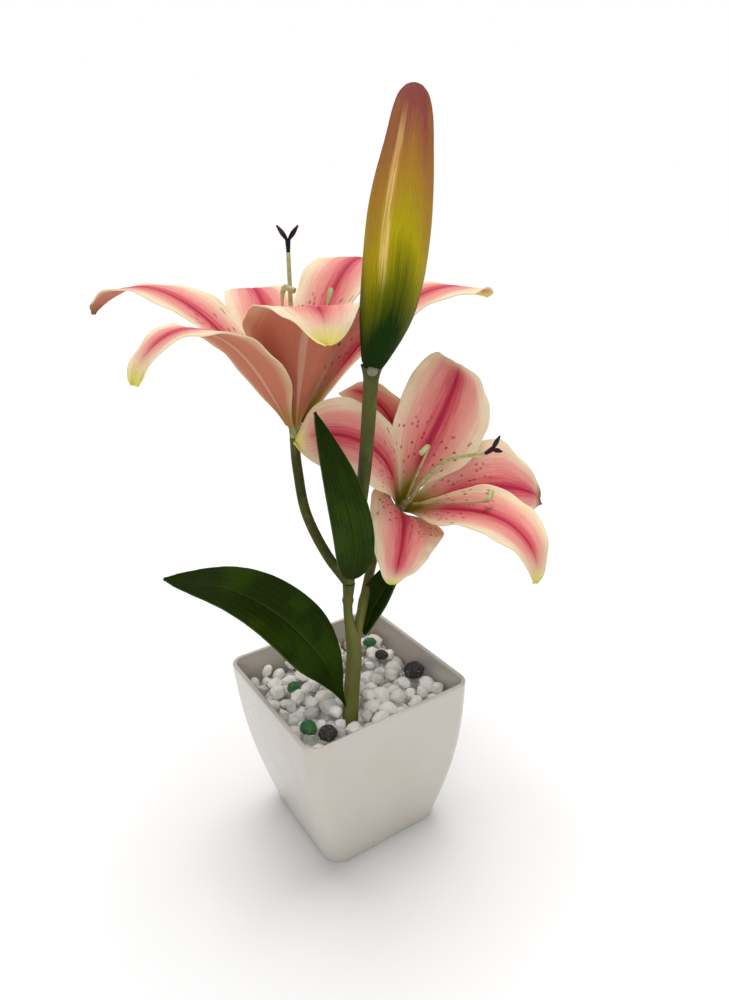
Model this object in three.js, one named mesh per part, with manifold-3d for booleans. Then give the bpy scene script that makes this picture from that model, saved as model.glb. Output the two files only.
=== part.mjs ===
// An artificial lily spray, two open flowers and a bud, standing in a square pot of gravel.
// Millimetres, +Z up. The origin is the centre of the pot's flat foot.
import * as THREE from 'three';
import { mergeVertices } from 'three/addons/utils/BufferGeometryUtils.js';
import Module from 'manifold-3d';

const wasm = await Module();
wasm.setup();

// ---------------------------------------------------------------- driving dimensions
const CLEARANCE = 0.3;

const POT_HEIGHT = 80;
const POT_TOP_WIDTH = 85;
const POT_FOOT_WIDTH = 61.5;
const POT_BULGE = 2.8;
const POT_TOP_CORNER = 7;
const POT_FOOT_CORNER = 10;
const POT_WALL = 2.2;
const POT_FLOOR = 3;
const RIM_ROUNDING = 0.8;

const GRAVEL_DROP = 9;
const GRAVEL_DEPTH = 13;
const GRAVEL_LUMP = 1.1;
const PEBBLE_LENGTH = 8;

const STEM_BURIAL = 34;
const STUMP_RADIUS = 3.6;
const NECK_RADIUS = 2.1;
const BUD_STEM_RADIUS = 2.9;
const BUD_SOCKET_RADIUS = 4.3;
const FLOWER_STEM_RADIUS = 2.3;

const BUD_RADIUS = 11.2;
const BUD_BASE_RADIUS = 5.2;
const PIN_RADIUS = 1.2;

const PETAL_THICKNESS = 0.7;
const LEAF_THICKNESS = 0.8;
const PETAL_BASE_RADIUS = 3.7;
const CLAW_ARC = 0.62;

const BOSS_HEIGHT = 8;
const BOSS_TAPER = 14;
const PLATE_THICKNESS = 0.8;
const RECEPTACLE_SIDES = 14;
const RECEPTACLE_DEPTH = 6;
const PISTIL_RADIUS = 1;
const PISTIL_TOP = 73;
const STIGMA_TOP = 83;
const PRONG_RADIUS = 0.9;
const STAMEN_RADIUS = 0.6;
const STAMEN_BASE_RADIUS = 2.2;
const ANTHER_LENGTH = 7;
const ANTHER_TIP_RADIUS = 0.4;
const ANTHER_MIDDLE_RADIUS = 1.1;
const THREAD_SIDES = 6;

// ---------------------------------------------------------------- finishes
function finish(color, roughness) {
  return new THREE.MeshStandardMaterial({ color, roughness, metalness: 0 });
}

const WHITE_PLASTIC = finish(0xf2efe9, 0.25);
const FOAM_GREEN = finish(0x55703d, 0.95);
const WHITE_STONE = finish(0xdcdcd8, 0.6);
const DARK_STONE = finish(0x3a3d3c, 0.6);
const GREEN_STONE = finish(0x5c8a63, 0.6);
const STEM_GREEN = finish(0x5a6b34, 0.5);
const LEAF_GREEN = finish(0x234d17, 0.4);
const BUD_GREEN = finish(0x8f8a1c, 0.45);
const PETAL_PINK = finish(0xe39a98, 0.55);
const THROAT_GREEN = finish(0xb8b24a, 0.55);
const PISTIL_CREAM = finish(0xd9dba8, 0.5);
const STIGMA_BLACK = finish(0x241a20, 0.5);
const PIN_CREAM = finish(0xd8d4bc, 0.4);

// ---------------------------------------------------------------- helpers
const radians = THREE.MathUtils.degToRad;
const lerp = THREE.MathUtils.lerp;
const clamp01 = (value) => THREE.MathUtils.clamp(value, 0, 1);
const vec = (x, y, z) => new THREE.Vector3(x, y, z);
const UP = vec(0, 0, 1);
const steps = (count) => Array.from({ length: count + 1 }, (_, index) => index / count);

function signedVolume(points, faces) {
  let total = 0;
  for (const [a, b, c] of faces) {
    total += points[a].dot(points[b].clone().cross(points[c])) / 6;
  }
  return total;
}

// A closed body from its points and triangles, turned so that its faces point out.
function closedBody(points, faces) {
  const outward = signedVolume(points, faces) > 0 ? faces : faces.map(([a, b, c]) => [a, c, b]);
  const geometry = new THREE.BufferGeometry();
  const coordinates = points.flatMap((point) => point.toArray());
  geometry.setAttribute('position', new THREE.Float32BufferAttribute(coordinates, 3));
  geometry.setIndex(outward.flat());
  geometry.computeVertexNormals();
  return geometry;
}

// The quads between two rings of `count` points, as triangles.
function ringBand(first, second, count) {
  const faces = [];
  for (let i = 0; i < count; i += 1) {
    const next = (i + 1) % count;
    faces.push([first + i, first + next, second + next], [first + i, second + next, second + i]);
  }
  return faces;
}

// A body skinned over a row of rings, with a flat fan at each end.
function loft(rings) {
  const count = rings[0].length;
  const points = rings.flat();
  const faces = [];
  for (let k = 0; k + 1 < rings.length; k += 1) {
    faces.push(...ringBand(k * count, (k + 1) * count, count));
  }
  const total = (ring) => ring.reduce((sum, point) => sum.add(point), vec(0, 0, 0));
  const middle = (ring) => total(ring).divideScalar(count);
  const lastRing = (rings.length - 1) * count;
  const startHub = points.push(middle(rings[0])) - 1;
  const endHub = points.push(middle(rings[rings.length - 1])) - 1;
  for (let i = 0; i < count; i += 1) {
    const next = (i + 1) % count;
    faces.push([startHub, next, i], [endHub, lastRing + i, lastRing + next]);
  }
  return closedBody(points, faces);
}

// A round rod along a smooth curve, with its radius given at each share of its length.
function rod(points, radiusAt, sides, sections) {
  const spine = new THREE.CatmullRomCurve3(points, false, 'centripetal');
  const frames = spine.computeFrenetFrames(sections, false);
  const rings = steps(sections).map((share, index) => {
    const centre = spine.getPointAt(share);
    const radius = radiusAt(share);
    return Array.from({ length: sides }, (_, side) => {
      const angle = (2 * Math.PI * side) / sides;
      return centre.clone()
        .addScaledVector(frames.normals[index], radius * Math.cos(angle))
        .addScaledVector(frames.binormals[index], radius * Math.sin(angle));
    });
  });
  return loft(rings);
}

// A thin sheet of even thickness over `grid[row][column]`, with a normal at each point.
function sheet(grid, normals, thickness) {
  const rows = grid.length;
  const columns = grid[0].length;
  const shifted = (side) => grid.map((row, r) => row.map((point, c) => (
    point.clone().addScaledVector(normals[r][c], side * thickness / 2))));
  const points = [...shifted(1).flat(), ...shifted(-1).flat()];
  const back = rows * columns;
  const at = (row, column) => row * columns + column;
  const faces = [];
  for (let r = 0; r + 1 < rows; r += 1) {
    for (let c = 0; c + 1 < columns; c += 1) {
      const [p, q, s, t] = [at(r, c), at(r, c + 1), at(r + 1, c + 1), at(r + 1, c)];
      faces.push([p, q, s], [p, s, t]);
      faces.push([back + p, back + s, back + q], [back + p, back + t, back + s]);
    }
  }
  const edge = [];
  for (let c = 0; c + 1 < columns; c += 1) edge.push(at(0, c));
  for (let r = 0; r + 1 < rows; r += 1) edge.push(at(r, columns - 1));
  for (let c = columns - 1; c > 0; c -= 1) edge.push(at(rows - 1, c));
  for (let r = rows - 1; r > 0; r -= 1) edge.push(at(r, 0));
  edge.forEach((here, index) => {
    const next = edge[(index + 1) % edge.length];
    faces.push([here, back + here, back + next], [here, back + next, next]);
  });
  return closedBody(points, faces);
}

function gridNormals(grid) {
  const last = grid.length - 1;
  const end = grid[0].length - 1;
  return grid.map((row, r) => row.map((_, c) => {
    const along = grid[Math.min(r + 1, last)][c].clone().sub(grid[Math.max(r - 1, 0)][c]);
    const across = grid[r][Math.min(c + 1, end)].clone().sub(grid[r][Math.max(c - 1, 0)]);
    return along.cross(across).normalize();
  }));
}

// ---------------------------------------------------------------- joins and cuts
function solidOf(geometry) {
  const bare = geometry.clone();
  bare.deleteAttribute('normal');
  bare.deleteAttribute('uv');
  const merged = mergeVertices(bare, 1e-4);
  return new wasm.Manifold(new wasm.Mesh({
    numProp: 3,
    vertProperties: Float32Array.from(merged.attributes.position.array),
    triVerts: Uint32Array.from(merged.index.array),
  }));
}

function geometryOf(solid) {
  const mesh = solid.getMesh();
  const geometry = new THREE.BufferGeometry();
  geometry.setAttribute('position', new THREE.Float32BufferAttribute(mesh.vertProperties, 3));
  geometry.setIndex(Array.from(mesh.triVerts));
  geometry.computeVertexNormals();
  return geometry;
}

function join(...parts) {
  return geometryOf(parts.map(solidOf).reduce((whole, part) => whole.add(part)));
}

function cut(geometry, ...tools) {
  const whole = solidOf(geometry);
  return geometryOf(tools.map(solidOf).reduce((rest, tool) => rest.subtract(tool), whole));
}

function named(name, geometry, material) {
  const mesh = new THREE.Mesh(geometry, material);
  mesh.name = name;
  return mesh;
}

// ---------------------------------------------------------------- pot
const CORNER_STEPS = 4;

function potHalfWidth(z) {
  const share = z / POT_HEIGHT;
  return lerp(POT_FOOT_WIDTH, POT_TOP_WIDTH, share) / 2 + POT_BULGE * Math.sin(Math.PI * share);
}

function potCorner(z) {
  return lerp(POT_FOOT_CORNER, POT_TOP_CORNER, z / POT_HEIGHT);
}

// A square ring with round corners, `inset` inside the pot's outer face at height z.
function squareRing(z, inset, sideSteps = 1) {
  const half = potHalfWidth(z) - inset;
  const corner = Math.max(potCorner(z) - inset, 2);
  const middle = half - corner;
  const ring = [];
  for (let quarter = 0; quarter < 4; quarter += 1) {
    const points = steps(CORNER_STEPS).map((share) => {
      const angle = (share * Math.PI) / 2;
      return vec(middle + corner * Math.cos(angle), middle + corner * Math.sin(angle), z);
    });
    const sideStart = points[CORNER_STEPS].clone();
    const sideEnd = vec(-middle, half, z);
    for (let k = 1; k < sideSteps; k += 1) {
      points.push(sideStart.clone().lerp(sideEnd, k / sideSteps));
    }
    ring.push(...points.map((point) => point.applyAxisAngle(UP, (quarter * Math.PI) / 2)));
  }
  return ring;
}

function pot() {
  const wallLevels = steps(6);
  const topOfWall = POT_HEIGHT - RIM_ROUNDING;
  const outside = wallLevels.map((share) => squareRing(share * topOfWall, 0));
  const inside = wallLevels.map((share) => (
    squareRing(lerp(topOfWall, POT_FLOOR, share), POT_WALL)));
  const rim = [RIM_ROUNDING, POT_WALL - RIM_ROUNDING].map((inset) => squareRing(POT_HEIGHT, inset));
  return named('pot', loft([...outside, ...rim, ...inside]), WHITE_PLASTIC);
}

// ---------------------------------------------------------------- foam, gravel and pebbles
const GRAVEL_TOP = POT_HEIGHT - GRAVEL_DROP;
const GRAVEL_FLOOR = GRAVEL_TOP - GRAVEL_DEPTH;
const FILL_INSET = POT_WALL + CLEARANCE;
const GRAVEL_SIDE_STEPS = 5;
const GRAVEL_RINGS = 7;

// Each pebble's place is a share of the gravel's half width.
const PEBBLES = [
  { name: 'dark_pebble_large', x: 0.82, y: -0.25, size: 1.35, turn: 20, finish: DARK_STONE },
  { name: 'dark_pebble_front', x: -0.63, y: -0.66, size: 1.1, turn: 70, finish: DARK_STONE },
  { name: 'dark_pebble_small', x: 0.7, y: 0.28, size: 0.8, turn: 130, finish: DARK_STONE },
  { name: 'green_pebble_front', x: -0.76, y: -0.45, size: 1, turn: 100, finish: GREEN_STONE },
  { name: 'green_pebble_left', x: -0.55, y: 0.33, size: 0.8, turn: 40, finish: GREEN_STONE },
  { name: 'green_pebble_back', x: 0.73, y: 0.62, size: 0.8, turn: 160, finish: GREEN_STONE },
];

function foamBlock(stumpTool) {
  const levels = [POT_FLOOR + CLEARANCE, POT_HEIGHT / 2, GRAVEL_FLOOR - CLEARANCE];
  const block = loft(levels.map((z) => squareRing(z, FILL_INSET)));
  return named('planting_foam', cut(block, stumpTool), FOAM_GREEN);
}

function gravelHeight(x, y) {
  const wave = 2 * Math.PI / PEBBLE_LENGTH;
  return GRAVEL_TOP + GRAVEL_LUMP * Math.sin(wave * x + 1) * Math.sin(wave * y * 0.9);
}

function gravelBed(stumpTool, pebbleTools) {
  const edge = squareRing(GRAVEL_TOP, FILL_INSET, GRAVEL_SIDE_STEPS);
  const top = steps(GRAVEL_RINGS).slice(0, -1).map((share) => edge.map(({ x, y }) => {
    const [px, py] = [x * (1 - share), y * (1 - share)];
    return vec(px, py, share === 0 ? GRAVEL_TOP : gravelHeight(px, py));
  }));
  const bed = loft([squareRing(GRAVEL_FLOOR, FILL_INSET, GRAVEL_SIDE_STEPS), ...top]);
  return named('gravel_bed', cut(bed, stumpTool, ...pebbleTools), WHITE_STONE);
}

function pebbleShape(pebble, grow) {
  const length = (PEBBLE_LENGTH * pebble.size) / 2;
  const stone = new THREE.IcosahedronGeometry(1, 1);
  stone.scale(length + grow, length * 0.75 + grow, length * 0.6 + grow);
  stone.rotateZ(radians(pebble.turn));
  const halfWidth = potHalfWidth(GRAVEL_TOP) - FILL_INSET;
  stone.translate(pebble.x * halfWidth, pebble.y * halfWidth, GRAVEL_TOP + length * 0.25);
  return stone;
}

// ---------------------------------------------------------------- stems, above the gravel's top
// The spray's points are measured from the middle of the gravel's top.
const STUMP_FOOT = vec(-5.5, -13.5, 0);
const FORK = vec(0.8, -8.6, 25.5);
const NECK = vec(-0.6, -7.8, 44.5);
const NODE = vec(0, -9.3, 59.7);
const BUD_STEM_POINTS = [vec(0.3, -13, 72.3), vec(3.4, -21.8, 113), vec(5.3, -28.8, 158)];
const SOCKET_TOP = BUD_STEM_POINTS[BUD_STEM_POINTS.length - 1];
const BUD_POINTS = [
  vec(9.1, -35.7, 182), vec(10.9, -42.7, 215), vec(13.1, -46.4, 235.5), vec(14.2, -48.2, 249),
];

// A flower's `reference` is the direction its petals' turns are measured from.
const UPPER_FLOWER = {
  origin: vec(-2, 27, 125), axis: vec(0.045, -0.025, 1), reference: vec(0, -1, 0),
};
const LOWER_FLOWER = {
  origin: vec(48, 18, 75.5), axis: vec(0.03, -0.82, 0.57), reference: vec(0, 0, 1),
};

const ROD_SIDES = 8;
const LONG_STEM_SECTIONS = 20;
const FLOWER_STEM_SECTIONS = 14;
const STUMP_BEND = 8;
const FORK_SHARE = 0.64;
const NECK_SHARE = 0.84;
const NODE_SWELL = 0.5;
const SOCKET_SHARE = 0.93;
const SEAT_GAP = CLEARANCE + 0.4;
const stumpLean = FORK.clone().sub(STUMP_FOOT).normalize();
const stumpAt = (distance) => STUMP_FOOT.clone().addScaledVector(stumpLean, distance);

function mainStemRadius(share) {
  const slim = clamp01((share - FORK_SHARE) / (NECK_SHARE - FORK_SHARE));
  const swell = clamp01((share - NECK_SHARE) / (1 - NECK_SHARE));
  return lerp(STUMP_RADIUS, NECK_RADIUS, slim) + NODE_SWELL * swell;
}

function mainStem(grow) {
  const points = [stumpAt(-STEM_BURIAL), stumpAt(0), stumpAt(STUMP_BEND), FORK, NECK, NODE];
  return rod(points, (share) => mainStemRadius(share) + grow, ROD_SIDES, LONG_STEM_SECTIONS);
}

function stumpTool() {
  const ends = [stumpAt(-STEM_BURIAL - 1), stumpAt(-STEM_BURIAL / 2), stumpAt(STUMP_BEND)];
  return rod(ends, () => STUMP_RADIUS + CLEARANCE, ROD_SIDES, 4);
}

function budStemRadius(share) {
  const flare = clamp01((share - SOCKET_SHARE) / (1 - SOCKET_SHARE)) ** 2;
  const plain = lerp(NECK_RADIUS + CLEARANCE, BUD_STEM_RADIUS, share);
  return plain + (BUD_SOCKET_RADIUS - BUD_STEM_RADIUS) * flare;
}

function budStem(grow) {
  const points = [NODE.clone().add(vec(0, -0.3, 0.9)), ...BUD_STEM_POINTS];
  return rod(points, (share) => budStemRadius(share) + grow, ROD_SIDES, LONG_STEM_SECTIONS);
}

// The point `distance` behind a flower's base, along its own axis.
function behind(flower, distance) {
  return flower.origin.clone().addScaledVector(flower.axis.clone().normalize(), -distance);
}

function flowerStem(start, between, flower, grow) {
  const end = behind(flower, RECEPTACLE_DEPTH + CLEARANCE);
  const approach = behind(flower, RECEPTACLE_DEPTH + 8);
  const points = [start, ...between, approach, end];
  return rod(points, () => FLOWER_STEM_RADIUS + grow, ROD_SIDES, FLOWER_STEM_SECTIONS);
}

const upperFlowerStem = (grow) => flowerStem(
  NODE.clone(), [vec(-3.9, 1.2, 70), vec(-5.1, 17, 86.5), vec(-3.4, 25, 103)], UPPER_FLOWER, grow,
);
const lowerFlowerStem = (grow) => flowerStem(
  FORK.clone(), [vec(8.9, -5.3, 43.7), vec(26.5, 12, 56), vec(41, 26, 60)], LOWER_FLOWER, grow,
);

// ---------------------------------------------------------------- bud
const BUD_WIDEST_SHARE = 0.42;
const BUD_TIP_RADIUS = 0.8;
const BUD_SIDES = 16;
const PIN_REACH = BUD_SOCKET_RADIUS + 0.5;
const PIN_DEPTH = 2.2;
const PIN_HEADING = vec(-0.5, -0.86, 0).normalize();

function budProfile(share) {
  if (share < BUD_WIDEST_SHARE) {
    const before = share / BUD_WIDEST_SHARE;
    return lerp(BUD_BASE_RADIUS, BUD_RADIUS, Math.sin(before * Math.PI / 2));
  }
  const past = (share - BUD_WIDEST_SHARE) / (1 - BUD_WIDEST_SHARE);
  return Math.max(BUD_RADIUS * Math.cos(past ** 1.35 * Math.PI / 2) ** 0.55, BUD_TIP_RADIUS);
}

function bud() {
  const seat = SOCKET_TOP.clone().add(vec(0, -0.2, SEAT_GAP));
  return named('bud', rod([seat, ...BUD_POINTS], budProfile, BUD_SIDES, BUD_SIDES), BUD_GREEN);
}

function budPin(grow) {
  const centre = SOCKET_TOP.clone().addScaledVector(UP, -PIN_DEPTH);
  const end = (reach) => centre.clone().addScaledVector(PIN_HEADING, reach);
  return rod([end(1), end(PIN_REACH + grow)], () => PIN_RADIUS + grow, ROD_SIDES, 2);
}

// ---------------------------------------------------------------- leaves
const LEAF_ROWS = 12;
const LEAF_COLUMNS = 4;
const LEAF_TIP_HALF_WIDTH = 1;

const LEAVES = {
  broad: {
    points: [
      vec(-9.5, -10.5, 4), vec(-14, -6, 26), vec(-27.9, 0.4, 47.3),
      vec(-45.3, 10.8, 62.6), vec(-70, 30, 68),
    ],
    facing: vec(-0.2, -0.5, 1), width: 33, fold: 15, widestPower: 0.8,
  },
  front: {
    points: [
      vec(-0.7, -14.2, 64), vec(-2.1, -19.7, 82.7), vec(-8, -23.2, 109.7), vec(-14.2, -17.2, 141.5),
    ],
    facing: vec(-0.25, -0.95, 0.4), width: 18, fold: 10, widestPower: 0.62,
  },
  back: {
    points: [vec(7, -8.5, 30), vec(13, -7, 40), vec(23, -7.5, 53), vec(32, -7, 66)],
    facing: vec(-0.95, -0.3, 0.7), width: 15, fold: 28, widestPower: 0.8,
  },
};

function leafShape({ points, facing, width, fold, widestPower }) {
  const spine = new THREE.CatmullRomCurve3(points, false, 'centripetal');
  const sideways = Math.cos(radians(fold));
  const raised = Math.sin(radians(fold));
  const grid = steps(LEAF_ROWS).map((share) => {
    const centre = spine.getPointAt(share);
    const tangent = spine.getTangentAt(share);
    const across = tangent.clone().cross(facing).normalize();
    const normal = across.clone().cross(tangent);
    const swell = Math.sin(Math.PI * share ** widestPower) ** 0.75;
    const half = Math.max((width / 2) * swell, LEAF_TIP_HALF_WIDTH);
    return steps(LEAF_COLUMNS).map((column) => {
      const offset = (2 * column - 1) * half;
      return centre.clone()
        .addScaledVector(across, offset * sideways)
        .addScaledVector(normal, Math.abs(offset) * raised);
    });
  });
  return sheet(grid, gridNormals(grid), LEAF_THICKNESS);
}

// ---------------------------------------------------------------- flowers
// A petal leaves the base at `open` degrees from the flower's axis and ends at `fall` degrees,
// turning faster towards the tip as `curl` grows. `turn` is its place round the axis, `sweep` how
// far it swings from there to its tip, and `hug` how closely it is rolled round the axis. It is
// widest at the share `widest` of its length, then closes by `full` and `blunt`.
const INNER_BASE_RADIUS = PETAL_BASE_RADIUS - PETAL_THICKNESS - CLEARANCE;
const PETAL_ROWS = 14;
const PETAL_COLUMNS = 6;
const SPINE_SUBSTEPS = 6;
const PETAL_TIP_HALF_WIDTH = 0.9;
const CLAW_EASE = 1.6;
const LEAST_BEND = 0.02;

const inner = (shape) => ({ baseRadius: INNER_BASE_RADIUS, ...shape });
const outer = (shape) => ({ baseRadius: PETAL_BASE_RADIUS, ...shape });

const UPPER_PETALS = {
  front: inner({
    turn: -12, sweep: -4.7, open: 20.9, fall: 169.2, curl: 3.06, hug: 0.9,
    length: 95.9, width: 53.3, widest: 0.45, full: 1.03, blunt: 0.52,
  }),
  left: inner({
    turn: -137, sweep: -2, open: 34.6, fall: 147, curl: 2.53, hug: 0.95,
    length: 122.8, width: 39.7, widest: 0.56, full: 3.78, blunt: 1.02,
  }),
  back_right: inner({
    turn: 115.8, sweep: 9.9, open: 23, fall: 140.4, curl: 2.45, hug: 1.12,
    length: 121.5, width: 36.6, widest: 0.62, full: 4, blunt: 0.5,
  }),
  front_left: outer({
    turn: -64.5, sweep: -1.8, open: 33, fall: 160.9, curl: 2.41, hug: 0.6,
    length: 110, width: 30.1, widest: 0.36, full: 1.21, blunt: 0.5,
  }),
  right: outer({
    turn: 81.2, sweep: 9.7, open: 38.1, fall: 121.9, curl: 2.23, hug: 1.02,
    length: 122.3, width: 50.9, widest: 0.56, full: 2.45, blunt: 0.68,
  }),
  back_left: outer({
    turn: 170.5, sweep: -2.6, open: 32, fall: 123.8, curl: 2.24, hug: 0.34,
    length: 104.7, width: 37.3, widest: 0.51, full: 2.14, blunt: 0.73,
  }),
};

const LOWER_PETALS = {
  top: inner({
    turn: -24.4, sweep: -23.6, open: 41, fall: 146, curl: 3.19, hug: 0.77,
    length: 84, width: 47.1, widest: 0.48, full: 2.42, blunt: 0.61,
  }),
  lower_right: inner({
    turn: -148.1, sweep: -42.5, open: 21, fall: 143.3, curl: 4.03, hug: 0.3,
    length: 96.4, width: 38.4, widest: 0.48, full: 1.29, blunt: 0.71,
  }),
  left: inner({
    turn: 42.9, sweep: 29.7, open: 33.5, fall: 167.2, curl: 2.78, hug: 0.32,
    length: 90.9, width: 36.5, widest: 0.62, full: 3.19, blunt: 0.86,
  }),
  right: outer({
    turn: -96, sweep: -26.4, open: 45.8, fall: 140.9, curl: 2.31, hug: 0.3,
    length: 79.3, width: 50.4, widest: 0.62, full: 1.14, blunt: 1.2,
  }),
  front: outer({
    turn: 119.7, sweep: 39.9, open: 22.6, fall: 143.4, curl: 1.36, hug: 0.47,
    length: 55.2, width: 41.6, widest: 0.36, full: 1, blunt: 0.55,
  }),
  upper_left: outer({
    turn: -9, sweep: 38.2, open: 43.5, fall: 169.3, curl: 1.67, hug: 0.84,
    length: 77.1, width: 24, widest: 0.62, full: 1.32, blunt: 0.56,
  }),
};

function petalHalfWidth(petal, share) {
  const claw = CLAW_ARC * petal.baseRadius;
  const half = petal.width / 2;
  if (share < petal.widest) {
    return claw + (half - claw) * Math.sin((share / petal.widest) * Math.PI / 2) ** CLAW_EASE;
  }
  const past = (share - petal.widest) / (1 - petal.widest);
  return Math.max(half * (1 - past ** petal.full) ** petal.blunt, PETAL_TIP_HALF_WIDTH);
}

// The direction at an angle from the flower's axis, leaning to one side of it.
function leaning(outward, fromAxis) {
  return UP.clone().multiplyScalar(Math.cos(fromAxis)).addScaledVector(outward, Math.sin(fromAxis));
}

function petalHeading(petal, share) {
  const fromAxis = radians(petal.open + (petal.fall - petal.open) * share ** petal.curl);
  const around = radians(petal.turn + petal.sweep * share);
  const outward = vec(Math.cos(around), Math.sin(around), 0);
  return {
    fromAxis,
    tangent: leaning(outward, fromAxis),
    normal: leaning(outward, fromAxis - Math.PI / 2),
  };
}

// The cross-section is an arc that hugs the flower's cone, so a neighbour can lie against it.
function petalRow(petal, share, centre) {
  const { fromAxis, tangent, normal } = petalHeading(petal, share);
  const half = petalHalfWidth(petal, share);
  const reach = Math.hypot(centre.x, centre.y);
  const upright = Math.max(Math.cos(fromAxis), 0);
  const bend = Math.max((petal.hug * half * upright) / reach, LEAST_BEND);
  const across = tangent.clone().cross(normal);
  return steps(PETAL_COLUMNS).map((column) => {
    const angle = bend * (2 * column - 1);
    return centre.clone()
      .addScaledVector(across, (half * Math.sin(angle)) / bend)
      .addScaledVector(normal, (half * (1 - Math.cos(angle))) / bend);
  });
}

function petalShape(petal) {
  const stepLength = petal.length / (PETAL_ROWS * SPINE_SUBSTEPS);
  const around = radians(petal.turn);
  const centre = vec(Math.cos(around), Math.sin(around), 0).multiplyScalar(petal.baseRadius);
  const grid = [petalRow(petal, 0, centre)];
  for (let row = 0; row < PETAL_ROWS; row += 1) {
    for (let sub = 0; sub < SPINE_SUBSTEPS; sub += 1) {
      const share = (row + (sub + 0.5) / SPINE_SUBSTEPS) / PETAL_ROWS;
      centre.addScaledVector(petalHeading(petal, share).tangent, stepLength);
    }
    grid.push(petalRow(petal, (row + 1) / PETAL_ROWS, centre));
  }
  return sheet(grid, gridNormals(grid), PETAL_THICKNESS);
}

function receptacleShape() {
  const bossFoot = INNER_BASE_RADIUS - PETAL_THICKNESS / 2 - CLEARANCE;
  const bossTop = bossFoot + BOSS_HEIGHT * Math.tan(radians(BOSS_TAPER));
  const plateRadius = PETAL_BASE_RADIUS + 0.4;
  const plate = -2 * CLEARANCE;
  const profile = [
    [0, -RECEPTACLE_DEPTH], [FLOWER_STEM_RADIUS + 0.8, -RECEPTACLE_DEPTH],
    [FLOWER_STEM_RADIUS + 1, -RECEPTACLE_DEPTH / 2], [plateRadius, plate - PLATE_THICKNESS],
    [plateRadius, plate], [bossFoot, plate], [bossTop, BOSS_HEIGHT], [0, BOSS_HEIGHT],
  ];
  const outline = profile.map(([radius, height]) => new THREE.Vector2(radius, height));
  const lathe = new THREE.LatheGeometry(outline, RECEPTACLE_SIDES);
  return geometryOf(solidOf(lathe.rotateX(Math.PI / 2)));
}

function pistilShape() {
  const foot = vec(0, 0, BOSS_HEIGHT + CLEARANCE);
  const points = [foot, vec(0.4, 0.3, PISTIL_TOP / 2), vec(0, 0, PISTIL_TOP)];
  return rod(points, () => PISTIL_RADIUS, ROD_SIDES, ROD_SIDES);
}

function stigmaShape() {
  const fork = lerp(PISTIL_TOP, STIGMA_TOP, 0.55);
  const stalkEnds = [vec(0, 0, PISTIL_TOP + CLEARANCE), vec(0, 0, fork + 0.6)];
  const stalk = rod(stalkEnds, () => PISTIL_RADIUS + 0.1, ROD_SIDES, 2);
  const prongs = [1, -1].map((side) => {
    const points = [vec(0, 0, fork), vec(1.6 * side, 0, fork + 2), vec(3 * side, 0, STIGMA_TOP)];
    return rod(points, () => PRONG_RADIUS, THREAD_SIDES, 4);
  });
  return join(stalk, ...prongs);
}

function antherRadius(share) {
  return lerp(ANTHER_TIP_RADIUS, ANTHER_MIDDLE_RADIUS, Math.sin(Math.PI * share));
}

// A filament leaning from the boss, with its anther lying across the end.
function stamenShape({ turn, lean, length }) {
  const around = radians(turn);
  const outward = vec(Math.cos(around), Math.sin(around), 0);
  const foot = UP.clone().multiplyScalar(BOSS_HEIGHT + 2 * CLEARANCE)
    .addScaledVector(outward, STAMEN_BASE_RADIUS);
  const heading = leaning(outward, radians(lean));
  const end = foot.clone().addScaledVector(heading, length);
  const middle = foot.clone().addScaledVector(heading, length / 2).addScaledVector(UP, 1.5);
  const filament = rod([foot, middle, end], () => STAMEN_RADIUS, THREAD_SIDES, 8);
  const across = outward.clone().applyAxisAngle(UP, Math.PI / 2);
  const anther = [-0.5, 0, 0.5].map((share) => end.clone()
    .addScaledVector(across, share * ANTHER_LENGTH).addScaledVector(UP, -4 * share * share));
  return join(filament, rod(anther, antherRadius, THREAD_SIDES, THREAD_SIDES));
}

const UPPER_STAMENS = [{ turn: -60, lean: 4, length: 50 }, { turn: 60, lean: 17, length: 50 }];
const LOWER_STAMENS = [{ turn: 20, lean: 20, length: 40 }, { turn: -150, lean: 22, length: 44 }];

function flower(prefix, place, petals, stamens) {
  const group = new THREE.Group();
  const axis = place.axis.clone().normalize();
  const { reference } = place;
  const zero = reference.clone().addScaledVector(axis, -reference.dot(axis)).normalize();
  const basis = new THREE.Matrix4().makeBasis(zero, axis.clone().cross(zero), axis);
  group.quaternion.setFromRotationMatrix(basis);
  group.position.copy(place.origin);
  group.add(named(`${prefix}_receptacle`, receptacleShape(), THROAT_GREEN));
  for (const [side, petal] of Object.entries(petals)) {
    group.add(named(`${prefix}_petal_${side}`, petalShape(petal), PETAL_PINK));
  }
  group.add(named(`${prefix}_pistil`, pistilShape(), PISTIL_CREAM));
  group.add(named(`${prefix}_stigma`, stigmaShape(), STIGMA_BLACK));
  stamens.forEach((stamen, index) => {
    group.add(named(`${prefix}_stamen_${index + 1}`, stamenShape(stamen), PISTIL_CREAM));
  });
  return group;
}

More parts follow.
